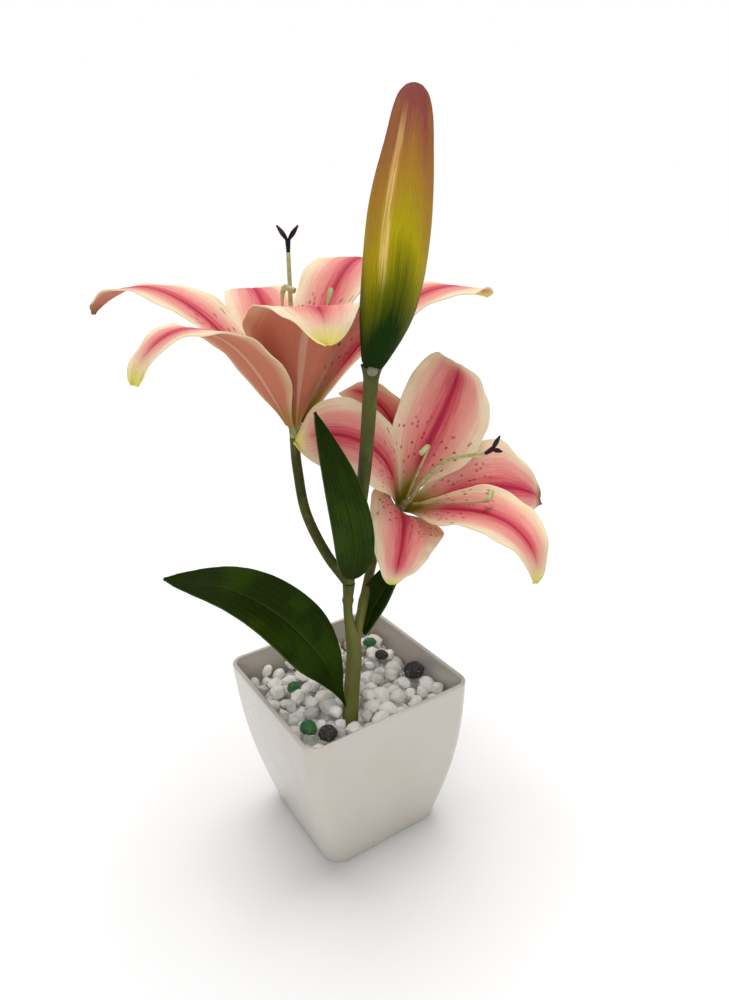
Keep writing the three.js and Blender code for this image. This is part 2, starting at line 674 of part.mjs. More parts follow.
// ---------------------------------------------------------------- assembly
function spray() {
  const group = new THREE.Group();
  group.position.z = GRAVEL_TOP;
  const mainTool = mainStem(CLEARANCE);
  const budStemTool = budStem(CLEARANCE);
  const lowerStemTool = lowerFlowerStem(CLEARANCE);
  const upperStemTool = upperFlowerStem(CLEARANCE);
  group.add(
    named('main_stem', mainStem(0), STEM_GREEN),
    named('bud_stem', cut(budStem(0), mainTool, budPin(CLEARANCE)), STEM_GREEN),
    named('upper_flower_stem', cut(upperFlowerStem(0), mainTool, budStemTool), STEM_GREEN),
    named('lower_flower_stem', cut(lowerFlowerStem(0), mainTool), STEM_GREEN),
    named('bud_pin', budPin(0), PIN_CREAM),
    bud(),
    named('leaf_broad', cut(leafShape(LEAVES.broad), mainTool), LEAF_GREEN),
    named('leaf_front', cut(leafShape(LEAVES.front), mainTool, budStemTool, upperStemTool), LEAF_GREEN),
    named('leaf_back', cut(leafShape(LEAVES.back), mainTool, lowerStemTool), LEAF_GREEN),
    flower('upper', UPPER_FLOWER, UPPER_PETALS, UPPER_STAMENS),
    flower('lower', LOWER_FLOWER, LOWER_PETALS, LOWER_STAMENS),
  );
  return group;
}

function filledPot() {
  const group = new THREE.Group();
  const stump = stumpTool().translate(0, 0, GRAVEL_TOP);
  const pebbleTools = PEBBLES.map((pebble) => pebbleShape(pebble, CLEARANCE));
  group.add(pot(), foamBlock(stump), gravelBed(stump, pebbleTools));
  for (const pebble of PEBBLES) {
    group.add(named(pebble.name, geometryOf(solidOf(pebbleShape(pebble, 0))), pebble.finish));
  }
  return group;
}

const arrangement = new THREE.Group();
arrangement.add(filledPot(), spray());

export default arrangement;
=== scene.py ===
# %% [markdown]
# # A potted artificial lily
#
# Two open lilies and one bud stand on plastic stems in a square white pot that is filled with
# small stones. Everything is moulded, cut from coated cloth, or poured in loose, and the pieces
# below are made in the order in which the real ones go together: pot, stones, stems, bud,
# leaves, flowers. The measured model is loaded first, and each new piece takes the place of the
# measured part with the same job. Lengths are written in millimetres and made metres by `MM`.

# %% Load the measured model
import math
import random
from collections import namedtuple

import bpy
from mathutils import Matrix, Vector


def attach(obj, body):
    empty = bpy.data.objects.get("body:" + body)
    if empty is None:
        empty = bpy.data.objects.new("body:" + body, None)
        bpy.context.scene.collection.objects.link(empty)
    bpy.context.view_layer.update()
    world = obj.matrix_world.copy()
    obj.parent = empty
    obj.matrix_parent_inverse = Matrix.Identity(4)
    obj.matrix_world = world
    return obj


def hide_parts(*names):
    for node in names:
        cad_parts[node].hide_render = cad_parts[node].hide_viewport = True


MM = 0.001
ROOT = "root"

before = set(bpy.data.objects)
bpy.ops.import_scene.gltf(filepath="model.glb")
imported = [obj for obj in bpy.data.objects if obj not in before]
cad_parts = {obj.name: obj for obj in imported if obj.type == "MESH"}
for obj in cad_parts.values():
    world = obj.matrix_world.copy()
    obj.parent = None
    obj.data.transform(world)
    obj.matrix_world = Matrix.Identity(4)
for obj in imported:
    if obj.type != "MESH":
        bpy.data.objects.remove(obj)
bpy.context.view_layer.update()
print("measured parts:", len(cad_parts))


# %% [markdown]
# ## The camera
#
# The camera stands as high as the middle of the bud and looks down at the pot, close enough for
# the pot to taper away below. Its place and its three turns make up its matrix.

# %% Camera
CAMERA_PLACE = Vector((-140.58, -261.25, 283.30)) * MM
CAMERA_AZIMUTH = math.radians(-30.94)
CAMERA_ELEVATION = math.radians(21.51)
CAMERA_ROLL = math.radians(-3.216)
CAMERA_LENS = 26.41


def add_camera():
    """Add the camera, turned by its azimuth, elevation and roll."""
    bpy.ops.object.camera_add(location=CAMERA_PLACE)
    camera = bpy.context.object
    turn = Matrix.Rotation(CAMERA_AZIMUTH, 4, "Z")
    tilt = Matrix.Rotation(math.radians(90) - CAMERA_ELEVATION, 4, "X")
    roll = Matrix.Rotation(CAMERA_ROLL, 4, "Z")
    camera.matrix_world = Matrix.Translation(CAMERA_PLACE) @ turn @ tilt @ roll
    camera.data.lens = CAMERA_LENS
    camera.data.clip_start = 0.01
    bpy.context.scene.camera = camera
    return camera


camera = add_camera()
print("camera columns:", [tuple(round(x, 4) for x in column) for column in camera.matrix_world.col])


# %% [markdown]
# ## Shader sums
#
# A finish is a small network of nodes, and most of it is arithmetic. `Flow` wraps one socket so
# that a network can be written as a sum, and `flow.node` adds any other node. Colours are mixed
# with Mix nodes, because a Math node would turn them grey.

# %% Flow: a socket that sums can be written with
class Flow:
    """One output socket of a material, on its way to the next node."""

    def __init__(self, tree, socket=None):
        self.tree = tree
        self.socket = socket

    def node(self, kind, settings, inputs, output=0):
        """Add a node, set it up, feed its inputs, and wrap one of its outputs."""
        made = self.tree.nodes.new(kind)
        for name, value in settings.items():
            if name == "stops":
                fill_ramp(made.color_ramp, value)
            else:
                setattr(made, name, value)
        for name, value in inputs.items():
            feed(self.tree, made.inputs[name], value)
        return Flow(self.tree, made.outputs[output])

    def maths(self, operation, *values):
        return self.node("ShaderNodeMath", {"operation": operation}, dict(enumerate(values)))

    def __add__(self, other):
        return self.maths("ADD", self, other)

    __radd__ = __add__

    def __sub__(self, other):
        return self.maths("SUBTRACT", self, other)

    def __rsub__(self, other):
        return self.maths("SUBTRACT", other, self)

    def __mul__(self, other):
        return self.maths("MULTIPLY", self, other)

    __rmul__ = __mul__

    def __abs__(self):
        return self.maths("ABSOLUTE", self)

    def rise(self, low, high):
        """0 below `low`, 1 above `high`, smooth between them."""
        settings = {"interpolation_type": "SMOOTHSTEP"}
        inputs = {"Value": self, "From Min": low, "From Max": high}
        return self.node("ShaderNodeMapRange", settings, inputs)

    def fall(self, low, high):
        """1 below `low`, 0 above `high`, smooth between them."""
        return 1 - self.rise(low, high)

    def mix(self, other, factor):
        """This colour, painted over with another where the factor is 1."""
        inputs = {"Factor": factor, 6: self, 7: other}
        return self.node("ShaderNodeMix", {"data_type": "RGBA"}, inputs, 2)

    def stretched(self, x, y, z):
        """This vector with each of its three numbers multiplied."""
        inputs = {0: self, 1: (x, y, z)}
        return self.node("ShaderNodeVectorMath", {"operation": "MULTIPLY"}, inputs)

    def noise(self, scale, detail=3, roughness=0.5):
        """Cloudy noise from 0 to 1, read at this vector."""
        inputs = {"Vector": self, "Scale": scale, "Detail": detail, "Roughness": roughness}
        return self.node("ShaderNodeTexNoise", {}, inputs)

    def part(self, index):
        """The x, y or z of this vector."""
        return self.node("ShaderNodeSeparateXYZ", {}, {0: self}, index)


def feed(tree, socket, value):
    """Give a socket a link or a plain value."""
    if isinstance(value, Flow):
        tree.links.new(value.socket, socket)
    elif socket.type == "RGBA":
        socket.default_value = (*value, 1)
    else:
        socket.default_value = value


def fill_ramp(ramp, stops):
    """Set a colour ramp to (place, colour) stops."""
    while len(ramp.elements) < len(stops):
        ramp.elements.new(1)
    for element, (place, colour) in zip(ramp.elements, stops):
        element.position = place
        element.color = (*colour, 1)


SHINE = 0.15


class Finish:
    """A new material, with its Principled shader and the vectors that patterns read."""

    def __init__(self, name, **settings):
        self.material = bpy.data.materials.new(name)
        self.material.use_nodes = True
        self.tree = self.material.node_tree
        self.shader = self.tree.nodes["Principled BSDF"]
        self.start = Flow(self.tree)
        self.shader.inputs["Specular IOR Level"].default_value = SHINE
        for socket, value in settings.items():
            feed(self.tree, self.shader.inputs[socket.replace("_", " ")], value)

    def where(self):
        """The place on the piece, in metres."""
        return self.start.node("ShaderNodeTexCoord", {}, {}, "Object")

    def attribute(self, name, output="Vector"):
        """A value that the piece's mesh carries at each of its points."""
        return self.start.node("ShaderNodeAttribute", {"attribute_name": name}, {}, output)

    def colour(self, rgb):
        """A plain colour to start a mix from."""
        node = self.tree.nodes.new("ShaderNodeRGB")
        node.outputs[0].default_value = (*rgb, 1)
        return Flow(self.tree, node.outputs[0])

    def paint(self, colour=None, roughness=None, height=None, depth=0.0):
        """Feed the shader its colour and roughness, and a bump from a height of 0 to 1."""
        if colour is not None:
            feed(self.tree, self.shader.inputs["Base Color"], colour)
        if roughness is not None:
            feed(self.tree, self.shader.inputs["Roughness"], roughness)
        if height is not None:
            inputs = {"Height": height, "Distance": depth, "Strength": 1.0}
            bump = self.start.node("ShaderNodeBump", {}, inputs)
            feed(self.tree, self.shader.inputs["Normal"], bump)
        return self.material


print("shader sums are ready")


# %% [markdown]
# ## Handling pieces
#
# Operators act on whatever is selected, so each step first selects one piece and nothing else.
# A finished piece is named, painted, and handed to the frame with the measured parts that it
# stands for. A modifier is applied as soon as it is set up, so that what shows is plain mesh.

# %% Helpers for pieces
def pick(piece):
    """Select one piece and nothing else, in object mode."""
    if bpy.context.object and bpy.context.object.mode != "OBJECT":
        bpy.ops.object.mode_set(mode="OBJECT")
    bpy.ops.object.select_all(action="DESELECT")
    piece.select_set(True)
    bpy.context.view_layer.objects.active = piece
    return piece


def modify(piece, kind, **settings):
    """Add one modifier with its settings and apply it."""
    pick(piece)
    modifier = piece.modifiers.new(kind.lower(), kind)
    for name, value in settings.items():
        setattr(modifier, name, value)
    bpy.ops.object.modifier_apply(modifier=modifier.name)
    return piece


def settle(piece):
    """Move a piece's place, turn and size into its mesh."""
    pick(piece)
    bpy.ops.object.transform_apply(location=True, rotation=True, scale=True)
    return piece


def smooth(piece, angle=40):
    """Shade a piece smooth except over edges sharper than an angle."""
    pick(piece)
    bpy.ops.object.shade_smooth_by_angle(angle=math.radians(angle))
    return piece


def hand_in(piece, name, slot, materials, *stands_for):
    """Name a finished piece, paint it, and tell the frame what it stands for."""
    settle(piece)
    piece.name = name
    piece.data.name = name
    for material in materials:
        piece.data.materials.append(material)
    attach(piece, ROOT)
    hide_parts(*stands_for)
    print(name, "has", len(piece.data.polygons), "faces")
    return piece


print("helpers are ready")


# %% [markdown]
# ## Lines and tubes
#
# Stems, pistils and stamens are all round rods that bend and change thickness. A poly curve with
# a radius at each point and a round bevel gives exactly that, and it becomes a mesh in one step.
# The route between the few points that a maker would choose is a centripetal Catmull-Rom curve,
# which passes through each point without loops.

# %% Smooth lines
LINE_SAMPLES = 40


def spread(start, end, share):
    """The value a share of the way from start to end."""
    return start + (end - start) * share


def knot_gap(first, second):
    """The centripetal spacing between two route points."""
    return max((second - first).length ** 0.5, 1e-6)


def curve_span(before, first, second, after, share):
    """A point on the span from `first` to `second`."""
    gaps = (knot_gap(before, first), knot_gap(first, second), knot_gap(second, after))
    leave = (first - before) / gaps[0] - (second - before) / (gaps[0] + gaps[1])
    leave = (leave + (second - first) / gaps[1]) * gaps[1]
    arrive = (second - first) / gaps[1] - (after - first) / (gaps[1] + gaps[2])
    arrive = (arrive + (after - second) / gaps[2]) * gaps[1]
    square = share * share
    cube = square * share
    line = first * (2 * cube - 3 * square + 1) + second * (3 * square - 2 * cube)
    return line + leave * (cube - 2 * square + share) + arrive * (cube - square)


def smooth_line(points, count):
    """`count` evenly spaced points on the smooth curve through `points`."""
    route = [Vector(point) for point in points]
    route = [route[0] * 2 - route[1], *route, route[-1] * 2 - route[-2]]
    fine = [route[1]]
    for i in range(1, len(route) - 2):
        for k in range(1, LINE_SAMPLES + 1):
            fine.append(curve_span(*route[i - 1:i + 3], k / LINE_SAMPLES))
    walked = [0.0]
    for first, second in zip(fine, fine[1:]):
        walked.append(walked[-1] + (second - first).length)
    line = []
    step = 0
    for i in range(count):
        wanted = walked[-1] * i / (count - 1)
        while step < len(fine) - 2 and walked[step + 1] < wanted:
            step += 1
        share = (wanted - walked[step]) / (walked[step + 1] - walked[step])
        line.append(fine[step].lerp(fine[step + 1], min(share, 1)))
    return line


def tube(points, radius_at, count=48, sides=5):
    """A round rod in millimetres along a smooth line, with its radius given at each share."""
    bpy.ops.object.select_all(action="DESELECT")
    bpy.ops.curve.primitive_nurbs_path_add()
    piece = bpy.context.object
    curve = piece.data
    curve.splines.remove(curve.splines[0])
    spline = curve.splines.new("POLY")
    spline.points.add(count - 1)
    for i, place in enumerate(smooth_line(points, count)):
        spline.points[i].co = (*(place * MM), 1)
        spline.points[i].radius = radius_at(i / (count - 1)) * MM
    curve.dimensions = "3D"
    curve.bevel_depth = 1
    curve.bevel_resolution = sides
    curve.use_fill_caps = True
    pick(piece)
    bpy.ops.object.convert(target="MESH")
    piece = bpy.context.object
    bpy.ops.object.mode_set(mode="EDIT")
    bpy.ops.mesh.select_all(action="SELECT")
    bpy.ops.mesh.remove_doubles(threshold=0.00001)
    bpy.ops.mesh.normals_make_consistent(inside=False)
    bpy.ops.object.mode_set(mode="OBJECT")
    return smooth(piece, 50)


def join(pieces):
    """Make several meshes one piece."""
    pick(pieces[0])
    for piece in pieces[1:]:
        piece.select_set(True)
    bpy.ops.object.join()
    return bpy.context.object


print("lines and tubes are ready")


# %% [markdown]
# ## Floor and light
#
# The plant stands on a wide white floor. A wide sun straight above gives the soft grey shadow
# round the foot of the pot, a white sky fills the shadows, and one large window of light, high
# behind the camera, gives the plastic its gloss.

# %% Floor and light
FLOOR_WIDTH = 8.0
SKY_STRENGTH = 0.33
SUN_STRENGTH = 2.7
SUN_SPREAD = math.radians(50)
SUN_TURN = (math.radians(-12), math.radians(10), 0)
WINDOW_SIZE = 0.7
WINDOW_POWER = 3.4
WINDOW_PLACE = Vector((-0.55, -0.85, 0.7))
WINDOW_AIM = Vector((0, 0, 0.12))
BACKDROP_WHITE = (1.0, 1.0, 1.0)
PAPER_WHITE = (0.89, 0.89, 0.89)
PAPER_SHINE = 0.1


def add_floor():
    """A wide pale floor that isn't part of the object."""
    bpy.ops.object.select_all(action="DESELECT")
    bpy.ops.mesh.primitive_plane_add(size=FLOOR_WIDTH)
    floor = bpy.context.object
    floor.name = "floor"
    paper = Finish("paper", Base_Color=PAPER_WHITE, Roughness=0.9)
    paper.shader.inputs["Specular IOR Level"].default_value = PAPER_SHINE
    floor.data.materials.append(paper.material)
    return floor


def light_sky():
    """A white sky, seen as paper white and a softer light on the object."""
    world = bpy.data.worlds.new("sky")
    bpy.context.scene.world = world
    world.use_nodes = True
    tree = world.node_tree
    sky = Flow(tree)
    background = tree.nodes["Background"]
    background.inputs["Color"].default_value = (*BACKDROP_WHITE, 1)
    seen = sky.node("ShaderNodeLightPath", {}, {}, "Is Camera Ray")
    feed(tree, background.inputs["Strength"], seen * (1 - SKY_STRENGTH) + SKY_STRENGTH)


def add_sun():
    """A wide, soft sun almost straight above."""
    bpy.ops.object.light_add(type="SUN", rotation=SUN_TURN)
    sun = bpy.context.object
    sun.data.energy = SUN_STRENGTH
    sun.data.angle = SUN_SPREAD
    return sun


def add_window():
    """A large square lamp behind the camera that the plastic reflects."""
    bpy.ops.object.light_add(type="AREA", location=WINDOW_PLACE)
    window = bpy.context.object
    window.data.size = WINDOW_SIZE
    window.data.energy = WINDOW_POWER
    aim = WINDOW_AIM - WINDOW_PLACE
    window.rotation_euler = aim.to_track_quat("-Z", "Y").to_euler()
    return window


add_floor()
light_sky()
add_sun()
add_window()
bpy.context.scene.view_settings.view_transform = "Standard"
print("floor and lights are in place")


# %% [markdown]
# ## The pot
#
# The real pot is one shell of glossy white plastic, square with round corners, a little bellied,
# and narrower at the foot. A cube is the right start: its upright edges are bevelled to round
# corners, it is cut into level rings, and each ring is then drawn out to the width and corner
# radius of its height. Solidify gives the shell its wall, and a small bevel rounds its edges.

# %% Pot sizes
POT_HEIGHT = 80
POT_TOP_WIDTH = 85
POT_FOOT_WIDTH = 61.5
POT_BULGE = 2.8
POT_TOP_CORNER = 7
POT_FOOT_CORNER = 10
POT_WALL = 2.2
POT_RINGS = 20
CORNER_SEGMENTS = 10
EDGE_ROUNDING = 0.85
EDGE_SEGMENTS = 4
GRAVEL_TOP = 71


def pot_half_width(height):
    """Half the outside width of the pot at a height."""
    share = height / POT_HEIGHT
    taper = spread(POT_FOOT_WIDTH, POT_TOP_WIDTH, share) / 2
    return taper + POT_BULGE * math.sin(math.pi * share)


def pot_corner(height):
    """The radius of the pot's upright corners at a height."""
    return spread(POT_FOOT_CORNER, POT_TOP_CORNER, height / POT_HEIGHT)


print("half width at the rim:", pot_half_width(POT_HEIGHT), "mm")


# %% Pot mesh
def select_parts(piece, mode, parts, chosen):
    """Go into edit mode with only the chosen faces or edges selected."""
    pick(piece)
    bpy.ops.object.mode_set(mode="EDIT")
    bpy.ops.mesh.select_mode(type=mode)
    bpy.ops.mesh.select_all(action="DESELECT")
    bpy.ops.object.mode_set(mode="OBJECT")
    for part in parts:
        part.select = chosen(part)
    bpy.ops.object.mode_set(mode="EDIT")


def bevelled_box():
    """A box as wide as the foot, with round upright corners, cut into level rings."""
    bpy.ops.object.select_all(action="DESELECT")
    bpy.ops.mesh.primitive_cube_add(size=1, location=(0, 0, POT_HEIGHT / 2))
    box = bpy.context.object
    box.scale = (POT_FOOT_WIDTH, POT_FOOT_WIDTH, POT_HEIGHT)
    settle(box)
    corners = box.data.vertices

    def upright(edge):
        low, high = (corners[i].co.z for i in edge.vertices)
        return abs(low - high) > POT_HEIGHT / 2

    select_parts(box, "EDGE", box.data.edges, upright)
    bpy.ops.mesh.bevel(offset=POT_FOOT_CORNER, segments=CORNER_SEGMENTS, affect="EDGES")
    for ring in range(1, POT_RINGS):
        bpy.ops.mesh.select_all(action="SELECT")
        height = POT_HEIGHT * ring / POT_RINGS
        bpy.ops.mesh.bisect(plane_co=(0, 0, height), plane_no=(0, 0, 1))
    bpy.ops.object.mode_set(mode="OBJECT")
    return box


def draw_out(box):
    """Move each ring of the box to the pot's width and corner radius at its height."""
    start_core = POT_FOOT_WIDTH / 2 - POT_FOOT_CORNER
    for vertex in box.data.vertices:
        height = vertex.co.z
        core = pot_half_width(height) - pot_corner(height)
        growth = pot_corner(height) / POT_FOOT_CORNER
        for axis in (0, 1):
            side = math.copysign(1, vertex.co[axis])
            past_core = abs(vertex.co[axis]) - start_core
            vertex.co[axis] = side * (core + past_core * growth)


def make_pot():
    """The pot's shell, with its wall and a rounded rim and foot."""
    pot = bevelled_box()
    select_parts(pot, "FACE", pot.data.polygons, lambda face: face.normal.z > 0.9)
    bpy.ops.mesh.delete(type="FACE")
    bpy.ops.object.mode_set(mode="OBJECT")
    draw_out(pot)
    pot.scale = (MM, MM, MM)
    settle(pot)
    modify(pot, "SOLIDIFY", thickness=POT_WALL * MM, offset=-1, use_even_offset=True)
    modify(pot, "BEVEL", width=EDGE_ROUNDING * MM, segments=EDGE_SEGMENTS, limit_method="ANGLE",
           angle_limit=math.radians(60))
    return smooth(pot, 50)


pot = make_pot()
print("pot faces:", len(pot.data.polygons))


# %% [markdown]
# The plastic is a warm white with a high gloss. A moulded pot is never quite even: its gloss
# varies in wide soft patches, its walls wave a little, and it has faint dust specks. Towards the
# foot it is painted a little darker and warmer: painted shade where the pot meets the floor.

# %% Pot finish
POT_WHITE = (0.60, 0.56, 0.50)
POT_SHADE = (0.57, 0.52, 0.455)
POT_FOOT_SHADE_AND_DUST = (0.60, 0.55, 0.48)


def pot_plastic():
    """Glossy white plastic with soft waves, faint dust specks and painted shade at the foot."""
    finish = Finish("pot_plastic", Specular_IOR_Level=0.5, Coat_Weight=0.35, Coat_Roughness=0.08)
    where = finish.where()
    patches = where.noise(35, 2)
    grain = where.noise(900, 2)
    height = where.part(2)
    foot = height.fall(0.0, 0.022)
    colour = finish.colour(POT_WHITE).mix(POT_SHADE, patches.rise(0.4, 0.7) * 0.6)
    # Painted shade: darker and warmer in the lowest 22 mm, where the pot meets the floor; the faint
    # specks are dust.
    colour = colour.mix(POT_FOOT_SHADE_AND_DUST, foot * 0.45 + grain.rise(0.62, 0.75) * 0.06)
    roughness = 0.2 + patches * 0.16 + grain * 0.05
    waves = where.stretched(1, 1, 0.4).noise(28, 1)
    return finish.paint(colour, roughness, waves + grain * 0.02, 0.0006)


hand_in(pot, "pot_shell", "pot_plastic", [pot_plastic()], "pot")


# %% [markdown]
# ## The stones
#
# The pot is topped up with marble chips 5 to 12 mm long. Each stone is a small ico sphere, pushed
# out of shape and turned at random. To lie as poured stones do, each new stone tries a few
# places and drops into the lowest pocket that it finds, and pouring stops when no pocket is left
# below the fill line. A fixed seed pours them the same way each time.

# %% Pouring the stones
FILL_HALF_WIDTH = 39.6
FILL_CORNER = 5.2
FILL_FLOOR = 58.5
STONE_SMALLEST = 2.8
STONE_LARGEST = 4.7
STONE_TRIES = 24
STONE_LIMIT = 460
SMALL_STONES = 1.4
MISSES_ALLOWED = 60
FILL_OVERRUN = 2.6
WALL_PLAY = 0.3
NESTING = 0.93
SINKING = 0.9
STUMP_PLACE = (-5.5, -13.5)
STUMP_ROOM = 4.2
ACCENTS = {
    "dark_stone_large": (0.82, -0.25, 1.35, 20),
    "dark_stone_front": (-0.63, -0.66, 1.1, 70),
    "dark_stone_small": (0.7, 0.28, 0.8, 130),
    "green_stone_front": (-0.76, -0.45, 1.0, 100),
    "green_stone_left": (-0.55, 0.33, 0.8, 40),
    "green_stone_back": (0.73, 0.62, 0.8, 160),
}
ACCENT_REACH = pot_half_width(GRAVEL_TOP) - 2.5
ACCENT_HALF_LENGTH = 4
ACCENT_ROOM = 0.72


def accent_places():
    """The middle, half length and turn of each coloured stone."""
    places = {}
    for name, (x, y, size, turn) in ACCENTS.items():
        middle = Vector((x * ACCENT_REACH, y * ACCENT_REACH, GRAVEL_TOP + size))
        places[name] = (middle, ACCENT_HALF_LENGTH * size, turn)
    return places


def inside_pot(x, y, radius):
    """Whether a stone at x, y is clear of the pot's inner wall."""
    core = FILL_HALF_WIDTH - FILL_CORNER
    corner = math.hypot(max(abs(x) - core, 0), max(abs(y) - core, 0))
    return corner + radius < FILL_CORNER + WALL_PLAY


def resting_height(x, y, radius, poured):
    """How high the middle of a stone comes to rest on the stones under it."""
    height = FILL_FLOOR + radius
    for place, other in poured:
        reach = (radius + other) * NESTING
        gap = reach * reach - (place.x - x) ** 2 - (place.y - y) ** 2
        if gap > 0:
            height = max(height, place.z + math.sqrt(gap) * SINKING)
    return height


def pour_stones(chance):
    """Places and radii of all the loose white stones."""
    kept_clear = [(Vector((*STUMP_PLACE, 0)), STUMP_ROOM)]
    kept_clear += [(middle, half * ACCENT_ROOM) for middle, half, _ in accent_places().values()]
    poured = []
    misses = 0
    while misses < MISSES_ALLOWED and len(poured) < STONE_LIMIT:
        radius = spread(STONE_SMALLEST, STONE_LARGEST, chance.random() ** SMALL_STONES)
        best = None
        for _ in range(STONE_TRIES):
            x = chance.uniform(-FILL_HALF_WIDTH, FILL_HALF_WIDTH)
            y = chance.uniform(-FILL_HALF_WIDTH, FILL_HALF_WIDTH)
            blocked = any(math.hypot(x - m.x, y - m.y) < r + radius * 0.8 for m, r in kept_clear)
            if blocked or not inside_pot(x, y, radius):
                continue
            height = resting_height(x, y, radius, poured)
            if best is None or height < best.z:
                best = Vector((x, y, height))
        if best is None or best.z + radius > GRAVEL_TOP + FILL_OVERRUN:
            misses += 1
            continue
        poured.append((best, radius))
    return poured


POUR = pour_stones(random.Random(11))
print("stones poured:", len(POUR))


# %% Stone meshes
CHIPPED_FLATS = 7
GAP_SHADE_TOP = 63
GAP_SHADE_LUMP = 0.8
GAP_SHADE_MARGIN = 0.8
GAP_SHADE_CELLS = 60
GAP_SHADE_DEPTH = 2


def stone(middle, size, turn, chance, chipping=0.7):
    """One rough stone: an ico sphere with flats chipped off it."""
    bpy.ops.object.select_all(action="DESELECT")
    bpy.ops.mesh.primitive_ico_sphere_add(subdivisions=2, radius=1)
    piece = bpy.context.object
    dents = [Vector(chance.uniform(-1, 1) for axis in range(3)).normalized()
             for flat in range(CHIPPED_FLATS)]
    for vertex in piece.data.vertices:
        direction = vertex.co.normalized()
        flatness = max(direction.dot(dent) for dent in dents)
        vertex.co = direction * (1.1 - chipping * max(flatness - 0.5, 0) - 0.09 * chance.random())
    piece.scale = Vector(size) * MM
    piece.rotation_euler = turn
    piece.location = middle * MM
    settle(piece)
    return piece


def white_stones(poured, chance):
    """All the white stones as one piece, each with its own tone."""
    pieces = []
    for middle, radius in poured:
        size = Vector((chance.uniform(1.1, 1.4), 1.08, chance.uniform(0.8, 1.05))) * radius
        turn = [chance.uniform(-0.5, 0.5), chance.uniform(-0.5, 0.5), chance.uniform(0, 6.28)]
        piece = stone(middle, size, turn, chance)
        tone = piece.data.attributes.new("tone", "FLOAT", "POINT")
        value = chance.random()
        tone.data.foreach_set("value", [value] * len(piece.data.vertices))
        pieces.append(piece)
    return smooth(join(pieces), 26)


def gap_shade_bed(chance):
    """A lumpy grey sheet under the top layer of stones: painted shade in the gaps between them."""
    bpy.ops.object.select_all(action="DESELECT")
    bpy.ops.mesh.primitive_grid_add(x_subdivisions=GAP_SHADE_CELLS, y_subdivisions=GAP_SHADE_CELLS, size=1)
    bed = bpy.context.object
    wide = 2 * (FILL_HALF_WIDTH - GAP_SHADE_MARGIN)
    for vertex in bed.data.vertices:
        lump = chance.uniform(-1, 1) * GAP_SHADE_LUMP
        vertex.co = Vector((vertex.co.x * wide, vertex.co.y * wide, GAP_SHADE_TOP + lump)) * MM
    modify(bed, "SOLIDIFY", thickness=GAP_SHADE_DEPTH * MM, offset=-1)
    tone = bed.data.attributes.new("tone", "FLOAT", "POINT")
    # The sheet gets only high tones, which the marble finish paints grey: painted shade in the gaps.
    tone.data.foreach_set("value", [chance.uniform(0.8, 1) for vertex in bed.data.vertices])
    return bed


gravel = join([white_stones(POUR, random.Random(5)), gap_shade_bed(random.Random(8))])
print("faces in the white stones:", len(gravel.data.polygons))


# %% [markdown]
# Most of the stones are milky white marble, some are greyer or warmer, and every stone is a
# little mottled. The mesh carries one tone for each stone, so that neighbours differ. The sheet
# under the stones carries only high tones, so it is painted grey: painted shade in the gaps. The
# few coloured stones are speckled: dark basalt, and green chips.

# %% Stone finishes
MARBLE_WHITE = (0.95, 0.945, 0.91)
MARBLE_GREY = (0.60, 0.595, 0.55)
MARBLE_WARM = (0.82, 0.77, 0.68)
BASALT = (0.035, 0.036, 0.034)
BASALT_SPECK = (0.20, 0.20, 0.18)
GREEN_CHIP = (0.045, 0.16, 0.055)
GREEN_CHIP_PALE = (0.14, 0.30, 0.16)


def marble():
    """Milky white stone that changes from chip to chip."""
    finish = Finish("marble_chips")
    where = finish.where()
    tone = finish.attribute("tone", "Fac")
    mottle = where.noise(260, 4)
    # High tones paint a stone greyer; on the sheet under the stones this grey is painted shade.
    colour = finish.colour(MARBLE_WHITE).mix(MARBLE_GREY, tone.rise(0.6, 1.0) * 0.9)
    colour = colour.mix(MARBLE_WARM, tone.fall(0.0, 0.22) * 0.7)
    colour = colour.mix(MARBLE_GREY, mottle.rise(0.5, 0.75) * 0.3)
    roughness = 0.42 + mottle * 0.3
    return finish.paint(colour, roughness, where.noise(900, 3), 0.0005)


def chip(name, body, speck):
    """A coloured stone with fine speckles."""
    finish = Finish(name)
    where = finish.where()
    specks = where.noise(1100, 3)
    patches = where.noise(220, 3)
    colour = finish.colour(body).mix(speck, specks.rise(0.52, 0.68) * 0.7)
    colour = colour.mix(speck, patches.rise(0.55, 0.8) * 0.5)
    return finish.paint(colour, 0.45 + patches * 0.3, specks, 0.0004)


hand_in(gravel, "white_stones", "white_gravel", [marble()], "gravel_bed")
basalt = chip("basalt", BASALT, BASALT_SPECK)
green_chip = chip("green_chip", GREEN_CHIP, GREEN_CHIP_PALE)


def add_accents(chance):
    """The six coloured stones, each in the place of its measured part."""
    for name, (middle, half, turn) in accent_places().items():
        size = (half * 1.15, half * 0.95, half * 0.75)
        piece = smooth(stone(middle, size, (0, 0, math.radians(turn)), chance, 0.3), 60)
        dark = name.startswith("dark")
        slot = "dark_pebble" if dark else "green_pebble"
        finish = basalt if dark else green_chip
        hand_in(piece, name, slot, [finish], name.replace("stone", "pebble"))


add_accents(random.Random(3))


# %% [markdown]
# ## The foam
#
# Under the stones a block of green craft foam grips the stems. Only its shape matters, and the
# measured part already has it, so it stays and gets a foam finish: open cells, dusty and matt.

# %% Foam finish
FOAM_GREEN = (0.03, 0.07, 0.025)
FOAM_PALE = (0.07, 0.13, 0.05)


def craft_foam():
    """Dusty green foam with open cells."""
    finish = Finish("craft_foam")
    cells = finish.where().noise(1600, 3)
    colour = finish.colour(FOAM_GREEN).mix(FOAM_PALE, cells)
    return finish.paint(colour, 0.85 + cells * 0.1, cells, 0.0006)


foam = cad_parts["planting_foam"]
foam.material_slots[0].material = craft_foam()
print("foam keeps its measured shape")


